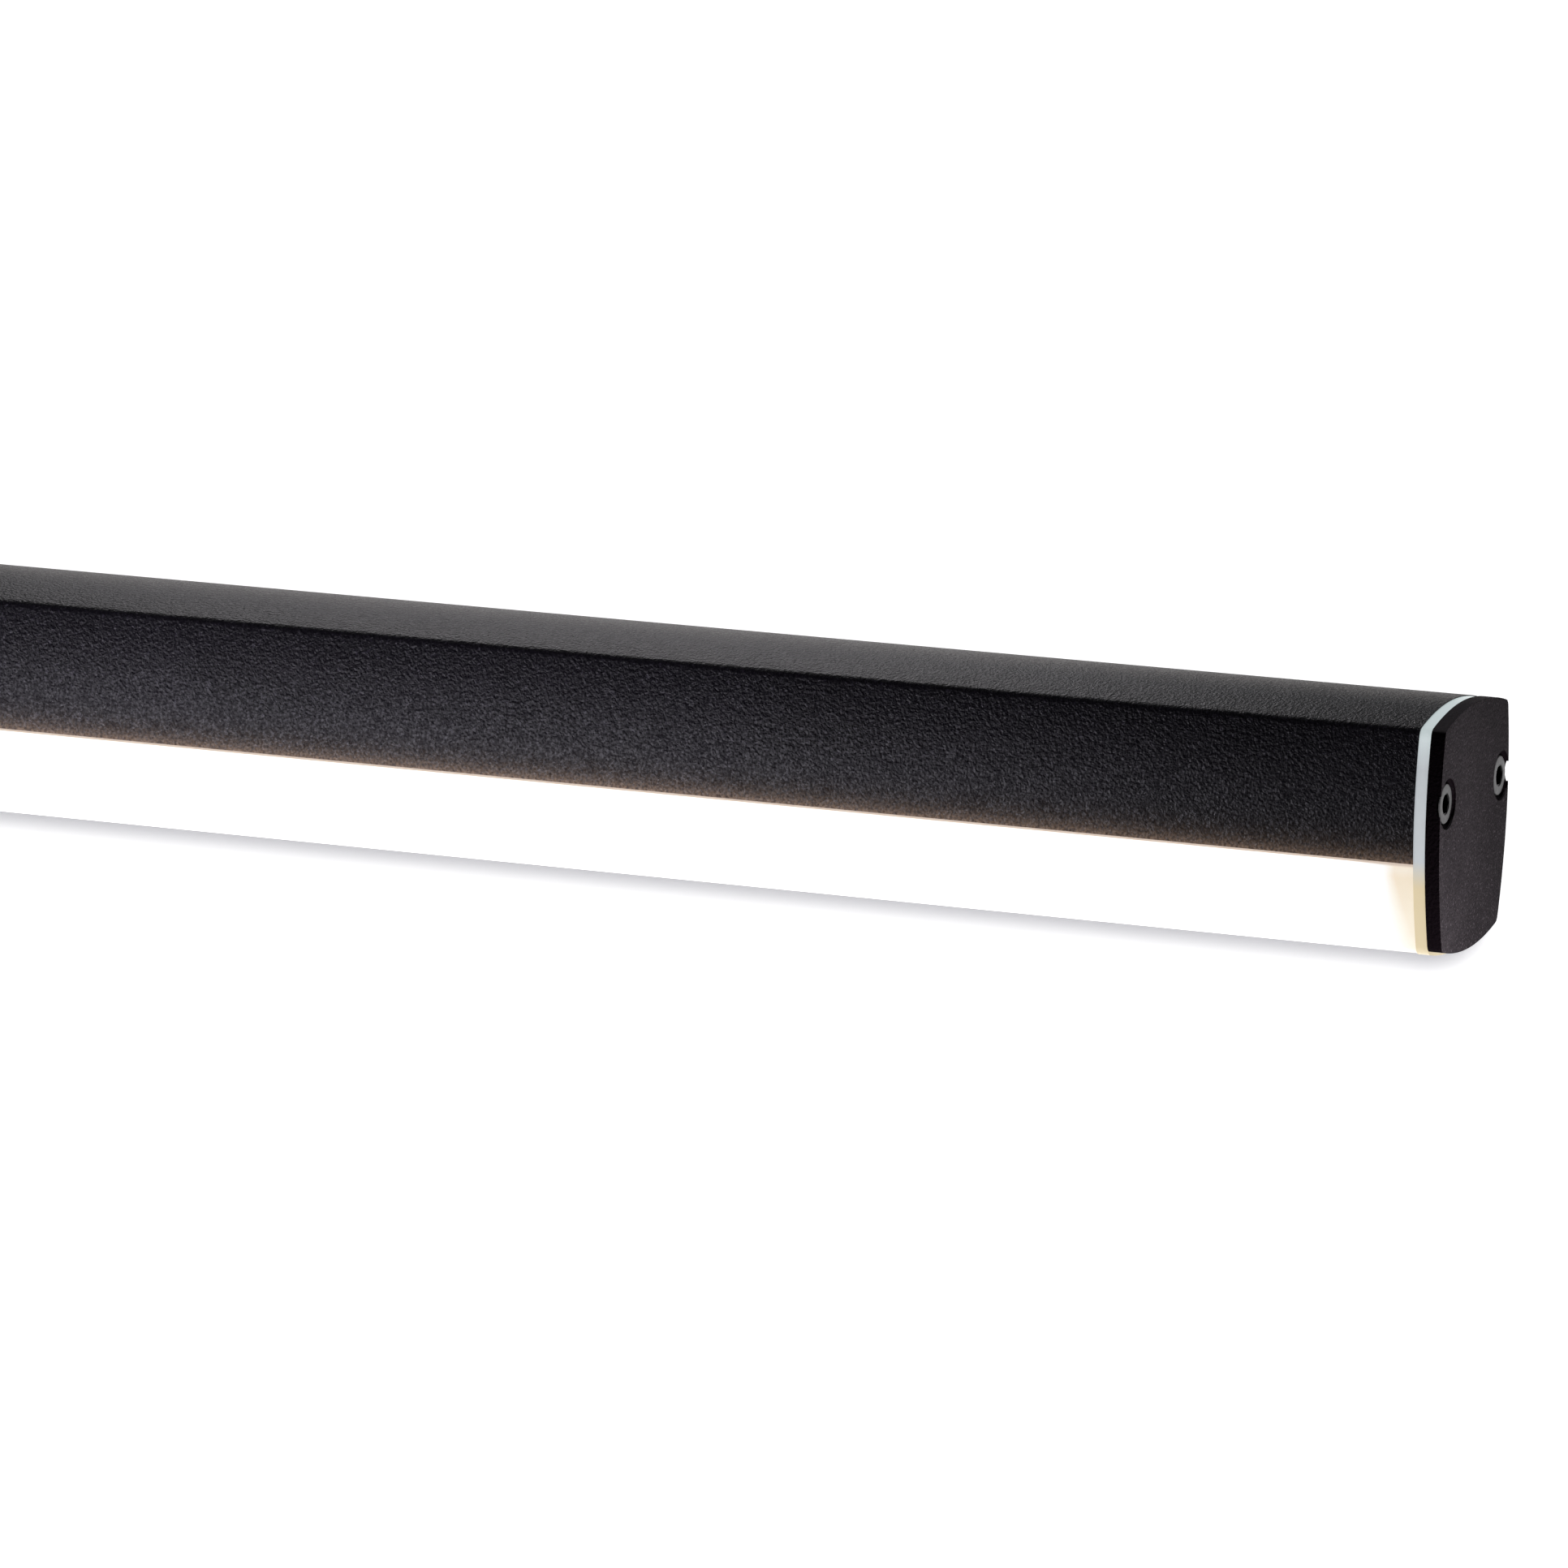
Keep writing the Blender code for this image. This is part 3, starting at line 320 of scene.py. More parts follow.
class Tree:
    """Short names for the nodes of one node tree."""

    def __init__(self, tree):
        self.tree = tree

    def add(self, kind, **settings):
        node = self.tree.nodes.new(kind)
        for key, value in settings.items():
            setattr(node, key, value)
        return node

    def feed(self, socket, value):
        """Wire an output to a socket, or set the socket to a constant."""
        if isinstance(value, bpy.types.NodeSocket):
            self.tree.links.new(value, socket)
        else:
            socket.default_value = value

    def span(self, value, from_low, from_high, to_low=0.0, to_high=1.0, curve="LINEAR"):
        """Map one range on another and stay inside it."""
        node = self.add("ShaderNodeMapRange", interpolation_type=curve)
        node.inputs["From Min"].default_value = from_low
        node.inputs["From Max"].default_value = from_high
        node.inputs["To Min"].default_value = to_low
        node.inputs["To Max"].default_value = to_high
        self.feed(node.inputs["Value"], value)
        return node.outputs["Result"]

    def span_mm(self, length, from_low, from_high, to_low=0.0, to_high=1.0):
        """Map a range in millimetres of a length that is in metres."""
        return self.span(length, from_low * MM, from_high * MM, to_low, to_high)

    def mix(self, factor, first, second, blend="MIX"):
        """Blend two colours."""
        node = self.add("ShaderNodeMix", data_type="RGBA", blend_type=blend)
        for key, value in (("Factor", factor), ("A", first), ("B", second)):
            socket = [s for s in node.inputs if s.name == key and s.enabled][0]
            self.feed(socket, value)
        return [s for s in node.outputs if s.enabled][0]

    def math(self, operation, *values):
        node = self.add("ShaderNodeMath", operation=operation)
        for socket, value in zip(node.inputs, values):
            self.feed(socket, value)
        return node.outputs["Value"]

    def part(self, vector, letter):
        """One part of a vector."""
        node = self.add("ShaderNodeSeparateXYZ")
        self.feed(node.inputs["Vector"], vector)
        return node.outputs[letter]


class Surface(Tree):
    """The tree of a new material, and its one shader."""

    def __init__(self, name):
        self.material = bpy.data.materials.new(name)
        self.material.use_nodes = True
        super().__init__(self.material.node_tree)
        self.shader = self.tree.nodes["Principled BSDF"]
        self.place = self.add("ShaderNodeTexCoord").outputs["Object"]

    def noise(self, scale, detail=2.0, roughness=0.5, stretch=None):
        """Noise in room space; scale is in waves per metre."""
        node = self.add("ShaderNodeTexNoise")
        node.inputs["Scale"].default_value = scale
        node.inputs["Detail"].default_value = detail
        node.inputs["Roughness"].default_value = roughness
        source = self.place
        if stretch:
            mapping = self.add("ShaderNodeMapping")
            mapping.inputs["Scale"].default_value = stretch
            self.feed(mapping.inputs["Vector"], self.place)
            source = mapping.outputs["Vector"]
        self.feed(node.inputs["Vector"], source)
        return node.outputs["Fac"]

    def axis(self, letter):
        """A point's own place along a room axis, in metres."""
        return self.part(self.place, letter)

    def facing(self, letter):
        """How much the surface itself faces along a room axis."""
        geometry = self.add("ShaderNodeNewGeometry")
        return self.part(geometry.outputs["True Normal"], letter)

    def bump(self, height, strength, distance):
        node = self.add("ShaderNodeBump")
        node.inputs["Strength"].default_value = strength
        node.inputs["Distance"].default_value = distance
        self.feed(node.inputs["Height"], height)
        self.feed(self.shader.inputs["Normal"], node.outputs["Normal"])

    def source(self, name):
        """What is wired to one of the shader's sockets."""
        return self.shader.inputs[name].links[0].from_socket

    def set(self, **values):
        """Wire or set the shader's sockets; an underscore stands for a space."""
        for key, value in values.items():
            self.feed(self.shader.inputs[key.replace("_", " ")], value)


# ---- finishes -----------------------------------------------------------------------
FINE_BUMP = 0.00005         # metres
GRAIN_BUMP = 0.0001
COAT_BUMP = 0.0003


def powder_coat(name, colour, rough, ior, grain=1.0):
    """Black powder coat: orange peel, flecks that catch the light and slight cloudiness."""
    m = Surface(name)
    peel = m.noise(2000.0, roughness=0.55)
    grit = m.noise(3600.0, detail=1.0)
    cloud = m.noise(45.0, detail=4.0, roughness=0.6)
    flecks = m.noise(2600.0, detail=1.0, roughness=0.4)
    tone = m.mix(m.span(cloud, 0.35, 0.65), tint(colour, 0.8), tint(colour, 1.2))
    fleck_share = m.span(flecks, 0.60, 0.74, 0.0, min(1.0, 0.8 * grain))
    tone = m.mix(fleck_share, tone, tint(colour, 4.5))
    dullest = 1.0 - 0.8 * min(1.0, grain)
    m.set(
        Base_Color=tone,
        Roughness=m.span(grit, 0.3, 0.7, rough - 0.08, rough + 0.08),
        Specular_Tint=m.mix(m.span(flecks, 0.36, 0.66), tint(WHITE[:3], dullest), WHITE),
        IOR=ior,
    )
    height = m.math("ADD", m.math("MULTIPLY", peel, 0.75), m.math("MULTIPLY", grit, 0.25))
    m.bump(height, strength=grain, distance=COAT_BUMP)
    return m


def metal(name, colour, rough, brushed=(1.0, 1.0, 1.0)):
    """Bare or plated metal with fine scratches, which brushed can draw out."""
    m = Surface(name)
    streak = m.noise(900.0, detail=3.0, roughness=0.6, stretch=brushed)
    m.set(
        Base_Color=m.mix(m.span(streak, 0.3, 0.7), tint(colour, 0.72), tint(colour)),
        Roughness=m.span(streak, 0.3, 0.7, rough - 0.08, rough + 0.1),
        Metallic=1.0,
    )
    m.bump(streak, strength=0.2, distance=FINE_BUMP)
    return m.material


def plastic(name, colour, rough, grain=900.0, strength=0.15):
    """Moulded plastic, rubber or foam: a fine grain over slight patches of tone."""
    m = Surface(name)
    fine = m.noise(grain, detail=3.0, roughness=0.55)
    broad = m.noise(60.0, detail=3.0)
    m.set(
        Base_Color=m.mix(m.span(broad, 0.3, 0.7), tint(colour, 0.86), tint(colour)),
        Roughness=m.span(fine, 0.3, 0.7, rough - 0.06, rough + 0.06),
    )
    m.bump(fine, strength, distance=GRAIN_BUMP)
    return m.material


# ---- materials of the visible pieces ------------------------------------------------
COVER_BLACK = (0.0014, 0.0012, 0.0018)
CAP_BLACK = (0.0055, 0.0048, 0.0052)
STEM_BLACK = (0.0108, 0.0098, 0.0122)
SIDE_SCREW_BLACK = (0.012, 0.012, 0.012)


def add_painted_lamp_glow(m):
    """Painted light: a warm glow painted into the coat for lamp light that creeps over the
    cover's lower edge, weaker towards the bar's ends.
    """
    reach = 1.1
    fades_from_x = 200.0
    share_at_end = 0.62
    warm = (1.0, 0.66, 0.46)
    above = m.math("SUBTRACT", m.axis("Z"), (BAR_Z + COVER_EDGE_V) * MM)
    fall = m.math("EXPONENT", m.math("MULTIPLY", above, -1.0 / (reach * MM)))
    speckle = m.span(m.noise(2400.0), 0.3, 0.7, 0.05, 0.27)
    along = m.math("ABSOLUTE", m.axis("X"))
    share = m.span_mm(along, fades_from_x, PLATE_INNER_X, 1.0, share_at_end)
    glow = m.math("MULTIPLY", m.math("MULTIPLY", fall, speckle), share)
    # Painted light: the cover's coat glows here as an emission, though it is no lamp.
    m.set(Emission_Color=tint(warm), Emission_Strength=glow)


def add_painted_wall_shade(m):
    """Painted shade: the cover's walls reflect less towards the crease, and the arched top is
    left as it is.
    """
    share_at_crease = 0.5
    starts = 1.0
    ends = 14.0
    crease_z = BAR_Z + corner(1).y
    wall = m.span_mm(m.axis("Z"), crease_z - starts, crease_z - ends, share_at_crease, 1.0)
    top = m.span(m.facing("Z"), 0.3, 0.7)
    share = m.math("MAXIMUM", wall, top)
    # Painted shade: the reflection is turned down on the walls near the crease.
    m.set(Specular_Tint=m.mix(1.0, m.source("Specular Tint"), share, "MULTIPLY"))


def cover_material():
    m = powder_coat("cover_powder_coat", COVER_BLACK, rough=0.37, ior=1.19)
    add_painted_lamp_glow(m)
    add_painted_wall_shade(m)
    return m.material


def diffuser_material():
    """Opal lens, lit: a warm line under the cover and a cream end past the LED boards."""
    lit = (2.0, 1.97, 1.9)
    lit_at_end = (0.60, 0.60, 0.61)
    cream_top = (0.41, 0.305, 0.155)
    cream_bottom = (0.48, 0.42, 0.30)
    warm_line = (0.20, 0.09, 0.02)
    opal = (0.53, 0.52, 0.50)
    opal_light = (0.57, 0.56, 0.54)
    m = Surface("opal_diffuser")
    top_z = BAR_Z + COVER_EDGE_V
    height = m.axis("Z")
    lower = m.span_mm(height, top_z - 2.0, top_z - 13.0)
    from_end = m.math("SUBTRACT", PLATE_INNER_X * MM, m.math("ABSOLUTE", m.axis("X")))
    light = m.mix(m.span_mm(from_end, 14.0, 5.0), tint(lit), tint(lit_at_end))
    # The cream end reaches further along the top of the lens than along its bottom.
    start = m.span(lower, 0.0, 1.0, 4.6 * MM, 3.9 * MM)
    full = m.span(lower, 0.0, 1.0, 2.8 * MM, -0.3 * MM)
    width = m.math("SUBTRACT", start, full)
    dim = m.span(m.math("DIVIDE", m.math("SUBTRACT", start, from_end), width), 0.0, 1.0)
    covered = m.span_mm(height, top_z - 2.2, top_z - 1.2, 1.0, 0.8)
    cream = m.mix(lower, tint(cream_top), tint(cream_bottom))
    light = m.mix(m.math("MULTIPLY", dim, covered), light, cream)
    light = m.mix(m.span_mm(height, top_z - 0.62, top_z - 0.3), light, tint(warm_line))
    fine = m.noise(700.0)
    m.set(
        Base_Color=m.mix(fine, tint(opal), tint(opal_light)),
        Roughness=m.span(fine, 0.3, 0.7, 0.36, 0.44),
        Emission_Color=light,
        Emission_Strength=1.0,
    )
    m.bump(fine, strength=0.05, distance=FINE_BUMP)
    return m.material


def plate_material():
    """White acrylic plate with painted light for lamp light through its edge: a painted glow,
    cool above, with glow and base colour painted cream beside the lens.
    """
    cool_light = (0.20, 0.21, 0.225)
    cool_light_high = (0.38, 0.44, 0.44)
    cream_light = (0.34, 0.25, 0.105)
    acrylic = (0.38, 0.41, 0.42)
    acrylic_pale = (0.43, 0.46, 0.47)
    painted_lamp_cream = (0.42, 0.39, 0.31)
    m = Surface("acrylic_plate")
    height = m.axis("Z")
    low = m.span_mm(height, BAR_Z - 3.0, BAR_Z - 7.0)
    high = m.span_mm(height, BAR_Z + 10.0, BAR_Z + 15.5)
    fine = m.noise(900.0)
    cool = m.mix(fine, tint(acrylic), tint(acrylic_pale))
    light = m.mix(high, tint(cool_light), tint(cool_light_high))
    # Painted light: the cream base colour low down and the whole glow stand for lamp light in the
    # acrylic.
    m.set(
        Base_Color=m.mix(low, cool, tint(painted_lamp_cream)),
        Roughness=m.span(fine, 0.3, 0.7, 0.28, 0.36),
        Emission_Color=m.mix(low, light, tint(cream_light)),
        Emission_Strength=1.0,
    )
    m.bump(fine, strength=0.05, distance=FINE_BUMP)
    return m.material


def cap_material():
    """Matt black cap: a mottled face, a top painted lighter as painted light from above, and
    sides and countersinks painted darker as painted shade.
    """
    painted_top_light = (0.045, 0.040, 0.043)
    painted_rim_shade = (0.0009, 0.0006, 0.0008)
    m = powder_coat("cap_powder_coat", CAP_BLACK, rough=0.5, ior=1.03, grain=0.8)
    mottle = m.span(m.noise(1100.0, detail=3.0, roughness=0.6), 0.35, 0.65, 0.7, 1.0)
    face_tone = m.mix(mottle, BLACK, m.source("Base Color"))
    face = m.span(m.math("ABSOLUTE", m.facing("X")), 0.8, 0.95)
    top = m.span(m.facing("Z"), 0.6, 0.9)
    # Painted light and shade: the top is painted lighter and the sides and countersink walls
    # darker than the face.
    m.set(Base_Color=m.mix(face, m.mix(top, tint(painted_rim_shade), tint(painted_top_light)), face_tone))
    return m.material


def cap_screw_material():
    """Plated screw: a turned ring round a socket whose inside is painted dark as painted shade.
    """
    painted_socket_shade = (0.004, 0.004, 0.004)
    plating_dark = (0.050, 0.049, 0.050)
    plating_light = (0.105, 0.103, 0.103)
    ring_start = 0.58 * SOCKET_FLATS
    ring_full = 0.64 * SOCKET_FLATS
    m = Surface("plated_screw")
    fine = m.noise(2500.0, detail=3.0, roughness=0.6)
    from_middle = m.math("ABSOLUTE", m.math("SUBTRACT", m.axis("Y"), BAR_Y * MM))
    across = m.math("SUBTRACT", from_middle, PORT_U * MM)
    up = m.math("SUBTRACT", m.axis("Z"), (BAR_Z + PORT_V) * MM)
    square = m.math("ADD", m.math("MULTIPLY", across, across), m.math("MULTIPLY", up, up))
    ring = m.span_mm(m.math("SQRT", square), ring_start, ring_full)
    plating = m.mix(fine, tint(plating_dark), tint(plating_light))
    # Painted shade: the socket and its chamfer are painted near black inside the ring.
    m.set(
        Base_Color=m.mix(ring, tint(painted_socket_shade), plating),
        Roughness=m.span(fine, 0.3, 0.7, 0.34, 0.5),
        Metallic=1.0,
    )
    m.bump(fine, strength=0.3, distance=FINE_BUMP)
    return m.material


# ---- finishes of the CAD pieces that keep their own shape ---------------------------
def insulation(name, colour):
    return plastic(name, colour, 0.35)


def dress_inner_nodes():
    red = (0.55, 0.02, 0.02)
    black = (0.012, 0.012, 0.012)
    zinc = metal("zinc_plate", (0.58, 0.60, 0.62), 0.32)
    foam = plastic("foam_tape", (0.16, 0.16, 0.165), 0.9, 1500.0, 0.8)
    finishes = {
        "housing_nut": zinc,
        "canopy_nut": zinc,
        "canopy_washer": zinc,
        "threaded_nipple": metal("drawn_brass", (0.72, 0.53, 0.24), 0.3),
        "mounting_strap": metal("strap_zinc_plate", (0.62, 0.63, 0.64), 0.38, (1.0, 1.0, 0.08)),
        "ground_screw": metal("green_chromate", (0.06, 0.30, 0.10), 0.4),
        "driver_case": plastic("driver_case_plastic", (0.78, 0.78, 0.76), 0.45),
        "driver_cover": plastic("driver_cover_plastic", (0.72, 0.72, 0.70), 0.5),
        "driver_board": plastic("circuit_board", (0.03, 0.16, 0.06), 0.4, 2400.0, 0.3),
        "driver_foam_pad": foam,
        "terminal_pad": foam,
        "terminal_block": plastic("terminal_nylon", (0.74, 0.69, 0.55), 0.4),
        "led_board": plastic("white_board", (0.82, 0.82, 0.80), 0.4, 2400.0, 0.2),
        "thermal_pad": plastic("thermal_pad_silicone", (0.30, 0.32, 0.34), 0.7, 1800.0, 0.5),
        "web_grommet": plastic("grommet_rubber", (0.015, 0.015, 0.016), 0.65, 1200.0, 0.4),
        "led_lead_red": insulation("red_insulation", red),
        "board_jumper_red": insulation("red_jumper_insulation", red),
        "led_lead_black": insulation("black_insulation", black),
        "board_jumper_black": insulation("black_jumper_insulation", black),
        "primary_lead_live": insulation("brown_insulation", (0.16, 0.06, 0.025)),
        "primary_lead_neutral": insulation("blue_insulation", (0.02, 0.09, 0.42)),
        "ground_lead": insulation("green_insulation", (0.03, 0.30, 0.08)),
    }
    for node_name, node in nodes.items():
        for start, material in finishes.items():
            if node_name.startswith(start):
                for slot in node.material_slots:
                    slot.material = material


# ---- visible pieces -----------------------------------------------------------------
def dress(obj, material, slot, *replaced):
    """Give a new piece its material and body, and hide the CAD pieces that it stands for; slot is
    not used.
    """
    obj.data.materials.clear()
    obj.data.materials.append(material)
    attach(obj, "root")
    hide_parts(*replaced)


def ports(radius, segments):
    """The two screw holes in the section."""
    return [circle((side * PORT_U, PORT_V), radius, segments) for _, side in SIDES]


def cavity_loop():
    """The hollow above the web, with a step round each screw port."""
    port_room = 2.8
    cavity_u = 12.8
    roof_steps = 16
    step_u = PORT_U - port_room
    step_v = PORT_V + port_room
    rise = [(step_u, WEB_BOTTOM_V + WALL), (step_u, step_v), (cavity_u, step_v)]
    depths = [cavity_u * (1 - 2 * i / roof_steps) for i in range(roof_steps + 1)]
    roof = [(u, arch_v(u, 1, WALL)) for u in depths]
    return rise + roof + mirrored(rise)[::-1]


def build_cover():
    """The black extrusion with its hollow and its screw ports."""
    bead_slope = 0.3
    hole_depth = 9.0
    skirt_u = side_u(COVER_EDGE_V) - WALL
    bead_u = skirt_u - BEAD_DEPTH
    skirt = [
        (bead_u, COVER_EDGE_V), (bead_u, BEAD_TOP_V - bead_slope), (skirt_u, BEAD_TOP_V),
        (skirt_u, WEB_BOTTOM_V),
    ]
    outline = half_pillow(1, COVER_EDGE_V) + mirrored(skirt) + skirt[::-1]
    loops = [outline, cavity_loop()] + ports(radius=1.6, segments=24)
    cover = swept("cover", loops, 2 * PLATE_INNER_X, "X", (0.0, BAR_Y, BAR_Z))
    for _, side in SIDES:
        centre = (side * STEM_X, BAR_Y + HALF_DEPTH - WALL, 0.0)
        hole = [circle((0.0, 0.0), STEM_HOLE_RADIUS, 48)]
        cut(cover, swept("hole", hole, hole_depth, "Y", centre))
    soften(cover, width=0.14)
    dress(cover, cover_material(), "housing_black", "housing_extrusion")


def build_diffuser():
    """The opal lens, with a barbed tongue behind each skirt of the cover."""
    seam = 0.06
    shoulder = 1.2
    side_gap = 0.6
    tongue = 1.0
    top_gap = 0.5
    barb_slope = 0.2
    barb_height = 0.6
    lens_top = COVER_EDGE_V - seam
    shoulder_v = lens_top - shoulder
    tongue_top = WEB_BOTTOM_V - top_gap
    tongue_out = side_u(COVER_EDGE_V) - WALL - side_gap
    tongue_in = tongue_out - tongue
    barb_u = tongue_out + BEAD_DEPTH
    outer = half_pillow(-1, lens_top, DIFFUSER_RECESS, BODY_DROP)
    inner = half_pillow(-1, shoulder_v, DIFFUSER_RECESS + WALL, BODY_DROP)
    barbed = [
        (tongue_in, shoulder_v), (tongue_in, tongue_top), (tongue_out, tongue_top),
        (barb_u, BEAD_TOP_V + barb_height), (barb_u, BEAD_TOP_V + barb_slope),
        (tongue_out, BEAD_TOP_V), (tongue_out, lens_top),
    ]
    loop = outer + mirrored(barbed)[::-1] + inner[::-1] + barbed
    lens = swept("diffuser", [loop], 2 * PLATE_INNER_X, "X", (0.0, BAR_Y, BAR_Z))
    soften(lens, width=0.1)
    dress(lens, diffuser_material(), "diffuser_white", "diffuser_lens")


def build_plates(material):
    """The white plates between the bar and its caps."""
    middle = (PLATE_INNER_X + CAP_INNER_X) / 2
    thickness = CAP_INNER_X - PLATE_INNER_X
    outline = full_pillow(PLATE_INSET, BODY_DROP, PLATE_CREASE_RADIUS)
    loops = [outline] + ports(radius=1.7, segments=32)
    for side_name, side in SIDES:
        plate = swept("plate_" + side_name, loops, thickness, "X", (side * middle, BAR_Y, BAR_Z))
        soften(plate, width=0.16, segments=3)
        dress(plate, material, "end_plate_white", "end_plate_" + side_name)


def build_caps(material):
    """End caps with countersinks that break out through their edges."""
    mouth = 3.6
    bore = 1.7
    cone = 1.7
    above = 1.0
    below = 3.5
    sink_profile = [
        (0.0, above), (mouth, above), (mouth, -SCREW_SUNK), (bore, -SCREW_SUNK - cone),
        (bore, -below), (0.0, -below),
    ]
    middle = (CAP_INNER_X + CAP_OUTER_X) / 2
    thickness = CAP_OUTER_X - CAP_INNER_X
    loops = [full_pillow(drop=CAP_DROP)]
    for side_name, side in SIDES:
        facing = "+X" if side > 0 else "-X"
        cap = swept("cap_" + side_name, loops, thickness, "X", (side * middle, BAR_Y, BAR_Z))
        for edge in (-1, 1):
            centre = (side * CAP_OUTER_X, BAR_Y + edge * PORT_U, BAR_Z + PORT_V)
            cut(cap, turned("sink", sink_profile, facing, centre, segments=72))
        soften(cap, width=0.13)
        dress(cap, material, "end_cap_black", "end_cap_" + side_name)


def build_cap_screws(material):
    """Countersunk screws: crisp head rim, chamfered hex socket, full shank."""
    head = 2.85
    rim = 0.2
    face = 1.35
    shank = 1.5
    length = 11.7
    tip_v = 0.5 - length
    tip_radius = 1.1
    socket_depth = 1.3
    chamfer_top = 0.3
    chamfer_bottom = -0.1
    chamfer_radius = 1.55
    profile = [
        (0.0, 0.0), (face, 0.0), (head - 0.22, 0.0), (head - 0.09, -0.03), (head - 0.02, -0.1),
        (head, -rim), (shank, -rim - head + shank), (shank, tip_v), (tip_radius, -length),
        (0.0, -length),
    ]
    chamfer = [
        (0.0, chamfer_top), (chamfer_radius + chamfer_top, chamfer_top),
        (chamfer_radius + chamfer_bottom, chamfer_bottom), (0.0, chamfer_bottom),
    ]
    for side_name, side in SIDES:
        facing = "+X" if side > 0 else "-X"
        for edge_name, edge in (("front", -1), ("back", 1)):
            name = "%s_%s" % (side_name, edge_name)
            centre = (
                side * (CAP_OUTER_X - SCREW_SUNK), BAR_Y + edge * PORT_U, BAR_Z + PORT_V,
            )
            screw = turned("screw_" + name, profile, facing, centre, segments=72)
            cut(screw, swept("socket", [hexagon(SOCKET_FLATS)], 2 * socket_depth, "X", centre))
            cut(screw, turned("chamfer", chamfer, facing, centre, segments=48))
            soften(screw, width=0.035)
            dress(screw, material, "cap_screw_steel", "cap_screw_" + name)


def build_stems(material):
    """The two tubes, coped to fit the bar's back."""
    bore = 4.3
    overlap = 2.0
    cope_length = 20.0
    start = BAR_Y + HALF_DEPTH - overlap
    end = -CANOPY_DEPTH
    loops = [circle((0.0, 0.0), STEM_RADIUS, 96), circle((0.0, 0.0), bore, 64)]
    for side_name, side in SIDES:
        centre = (side * STEM_X, (start + end) / 2, 0.0)
        tube = swept("stem_" + side_name, loops, end - start, "Y", centre)
        at_bar = (side * STEM_X, BAR_Y, BAR_Z)
        cut(tube, swept("cope", [full_pillow()], cope_length, "X", at_bar))
        soften(tube, width=0.15)
        dress(tube, material, "stem_black", "standoff_tube_" + side_name)


def canopy_profile():
    """The turned dish: rounded front edge, thin wall and a thicker rim at the wall."""
    rim = 2.5
    wall = 1.2
    edge = 2.0
    rounded = quarter_arc((CANOPY_RADIUS - edge, CANOPY_DEPTH - edge), (edge, edge))
    return [(0.0, CANOPY_DEPTH)] + rounded + [
        (CANOPY_RADIUS, 0.0), (CANOPY_RADIUS - rim, 0.0), (CANOPY_RADIUS - rim, wall),
        (CANOPY_RADIUS - wall, wall), (CANOPY_RADIUS - wall, CANOPY_DEPTH - edge),
        (CANOPY_RADIUS - edge, CANOPY_DEPTH - wall), (0.0, CANOPY_DEPTH - wall),
    ]


def build_canopy(material):
    """The round wall dish with holes for the stems and the two side screws."""
    cutter_length = 8.0
    screw_hole_radius = 2.15
    stem_hole = [circle((0.0, 0.0), STEM_HOLE_RADIUS, 48)]
    screw_hole = [circle((0.0, 0.0), screw_hole_radius, 40)]
    canopy = turned("canopy", canopy_profile(), "-Y", (0.0, 0.0, 0.0), segments=180)
    for _, side in SIDES:
        front = (side * STEM_X, -CANOPY_DEPTH, 0.0)
        cut(canopy, swept("stem_hole", stem_hole, cutter_length, "Y", front))
        edge = (side * CANOPY_RADIUS, SIDE_SCREW_Y, 0.0)
        cut(canopy, swept("screw_hole", screw_hole, cutter_length, "X", edge))
    soften(canopy, width=0.25, segments=3)
    dress(canopy, material, "canopy_black", "wall_canopy")


def build_side_screws(material):
    """Slotted pan-head screws in the canopy's rim."""
    gap = 0.05
    head = 3.5
    tall = 2.2
    straight = 0.9
    shank = 2.0
    length = 8.0
    slot_reach = 4.0
    slot_half = 0.45
    slot_tool = 2.0
    slot_floor = 1.3
    dome = quarter_arc((0.0, straight), (head, tall - straight))
    profile = dome + [(head, 0.0), (shank, 0.0), (shank, -length), (0.0, -length)]
    slot_loop = [
        (-slot_reach, -slot_half), (slot_reach, -slot_half),
        (slot_reach, slot_half), (-slot_reach, slot_half),
    ]
    for side_name, side in SIDES:
        facing = "+X" if side > 0 else "-X"
        seat_x = CANOPY_RADIUS + gap
        slot_x = seat_x + slot_floor + slot_tool / 2
        screw = turned(
            "side_screw_" + side_name, profile, facing, (side * seat_x, SIDE_SCREW_Y, 0.0),
        )
        cut(screw, swept("slot", [slot_loop], slot_tool, "X", (side * slot_x, SIDE_SCREW_Y, 0.0)))
        soften(screw, width=0.08)
        dress(screw, material, "side_screw_black", "canopy_side_screw_" + side_name)


# ---- studio -------------------------------------------------------------------------
def add_camera():
    pitch_turn = Matrix.Rotation(math.pi / 2 + CAMERA_PITCH, 4, "X")
    yaw_turn = Matrix.Rotation(CAMERA_YAW, 4, "Z")
    roll_turn = Matrix.Rotation(-CAMERA_ROLL, 4, "Z")
    data = bpy.data.cameras.new("camera")
    data.lens = CAMERA_LENS
    data.sensor_width = SENSOR_WIDTH
    data.clip_start = CLIP_START
    data.clip_end = CLIP_END
    camera = link(bpy.data.objects.new("camera", data))
    camera.matrix_world = Matrix.Translation(CAMERA_PLACE) @ yaw_turn @ pitch_turn @ roll_turn
    bpy.context.scene.camera = camera


def floor_material():
    """Pale and matt, with a little light of its own so that it stays even to its far edge."""
    cool = (0.945, 0.935, 1.0)
    pale = (0.84, 0.84, 0.84)
    paler = (0.86, 0.86, 0.86)
    m = Surface("pale_floor")
    faint = m.noise(3.0)
    m.set(
        Base_Color=m.mix(faint, tint(pale), tint(paler)),
        Roughness=0.9,
        Emission_Color=tint(cool),
        Emission_Strength=0.365,
        Specular_IOR_Level=0.0,
    )
    return m.material


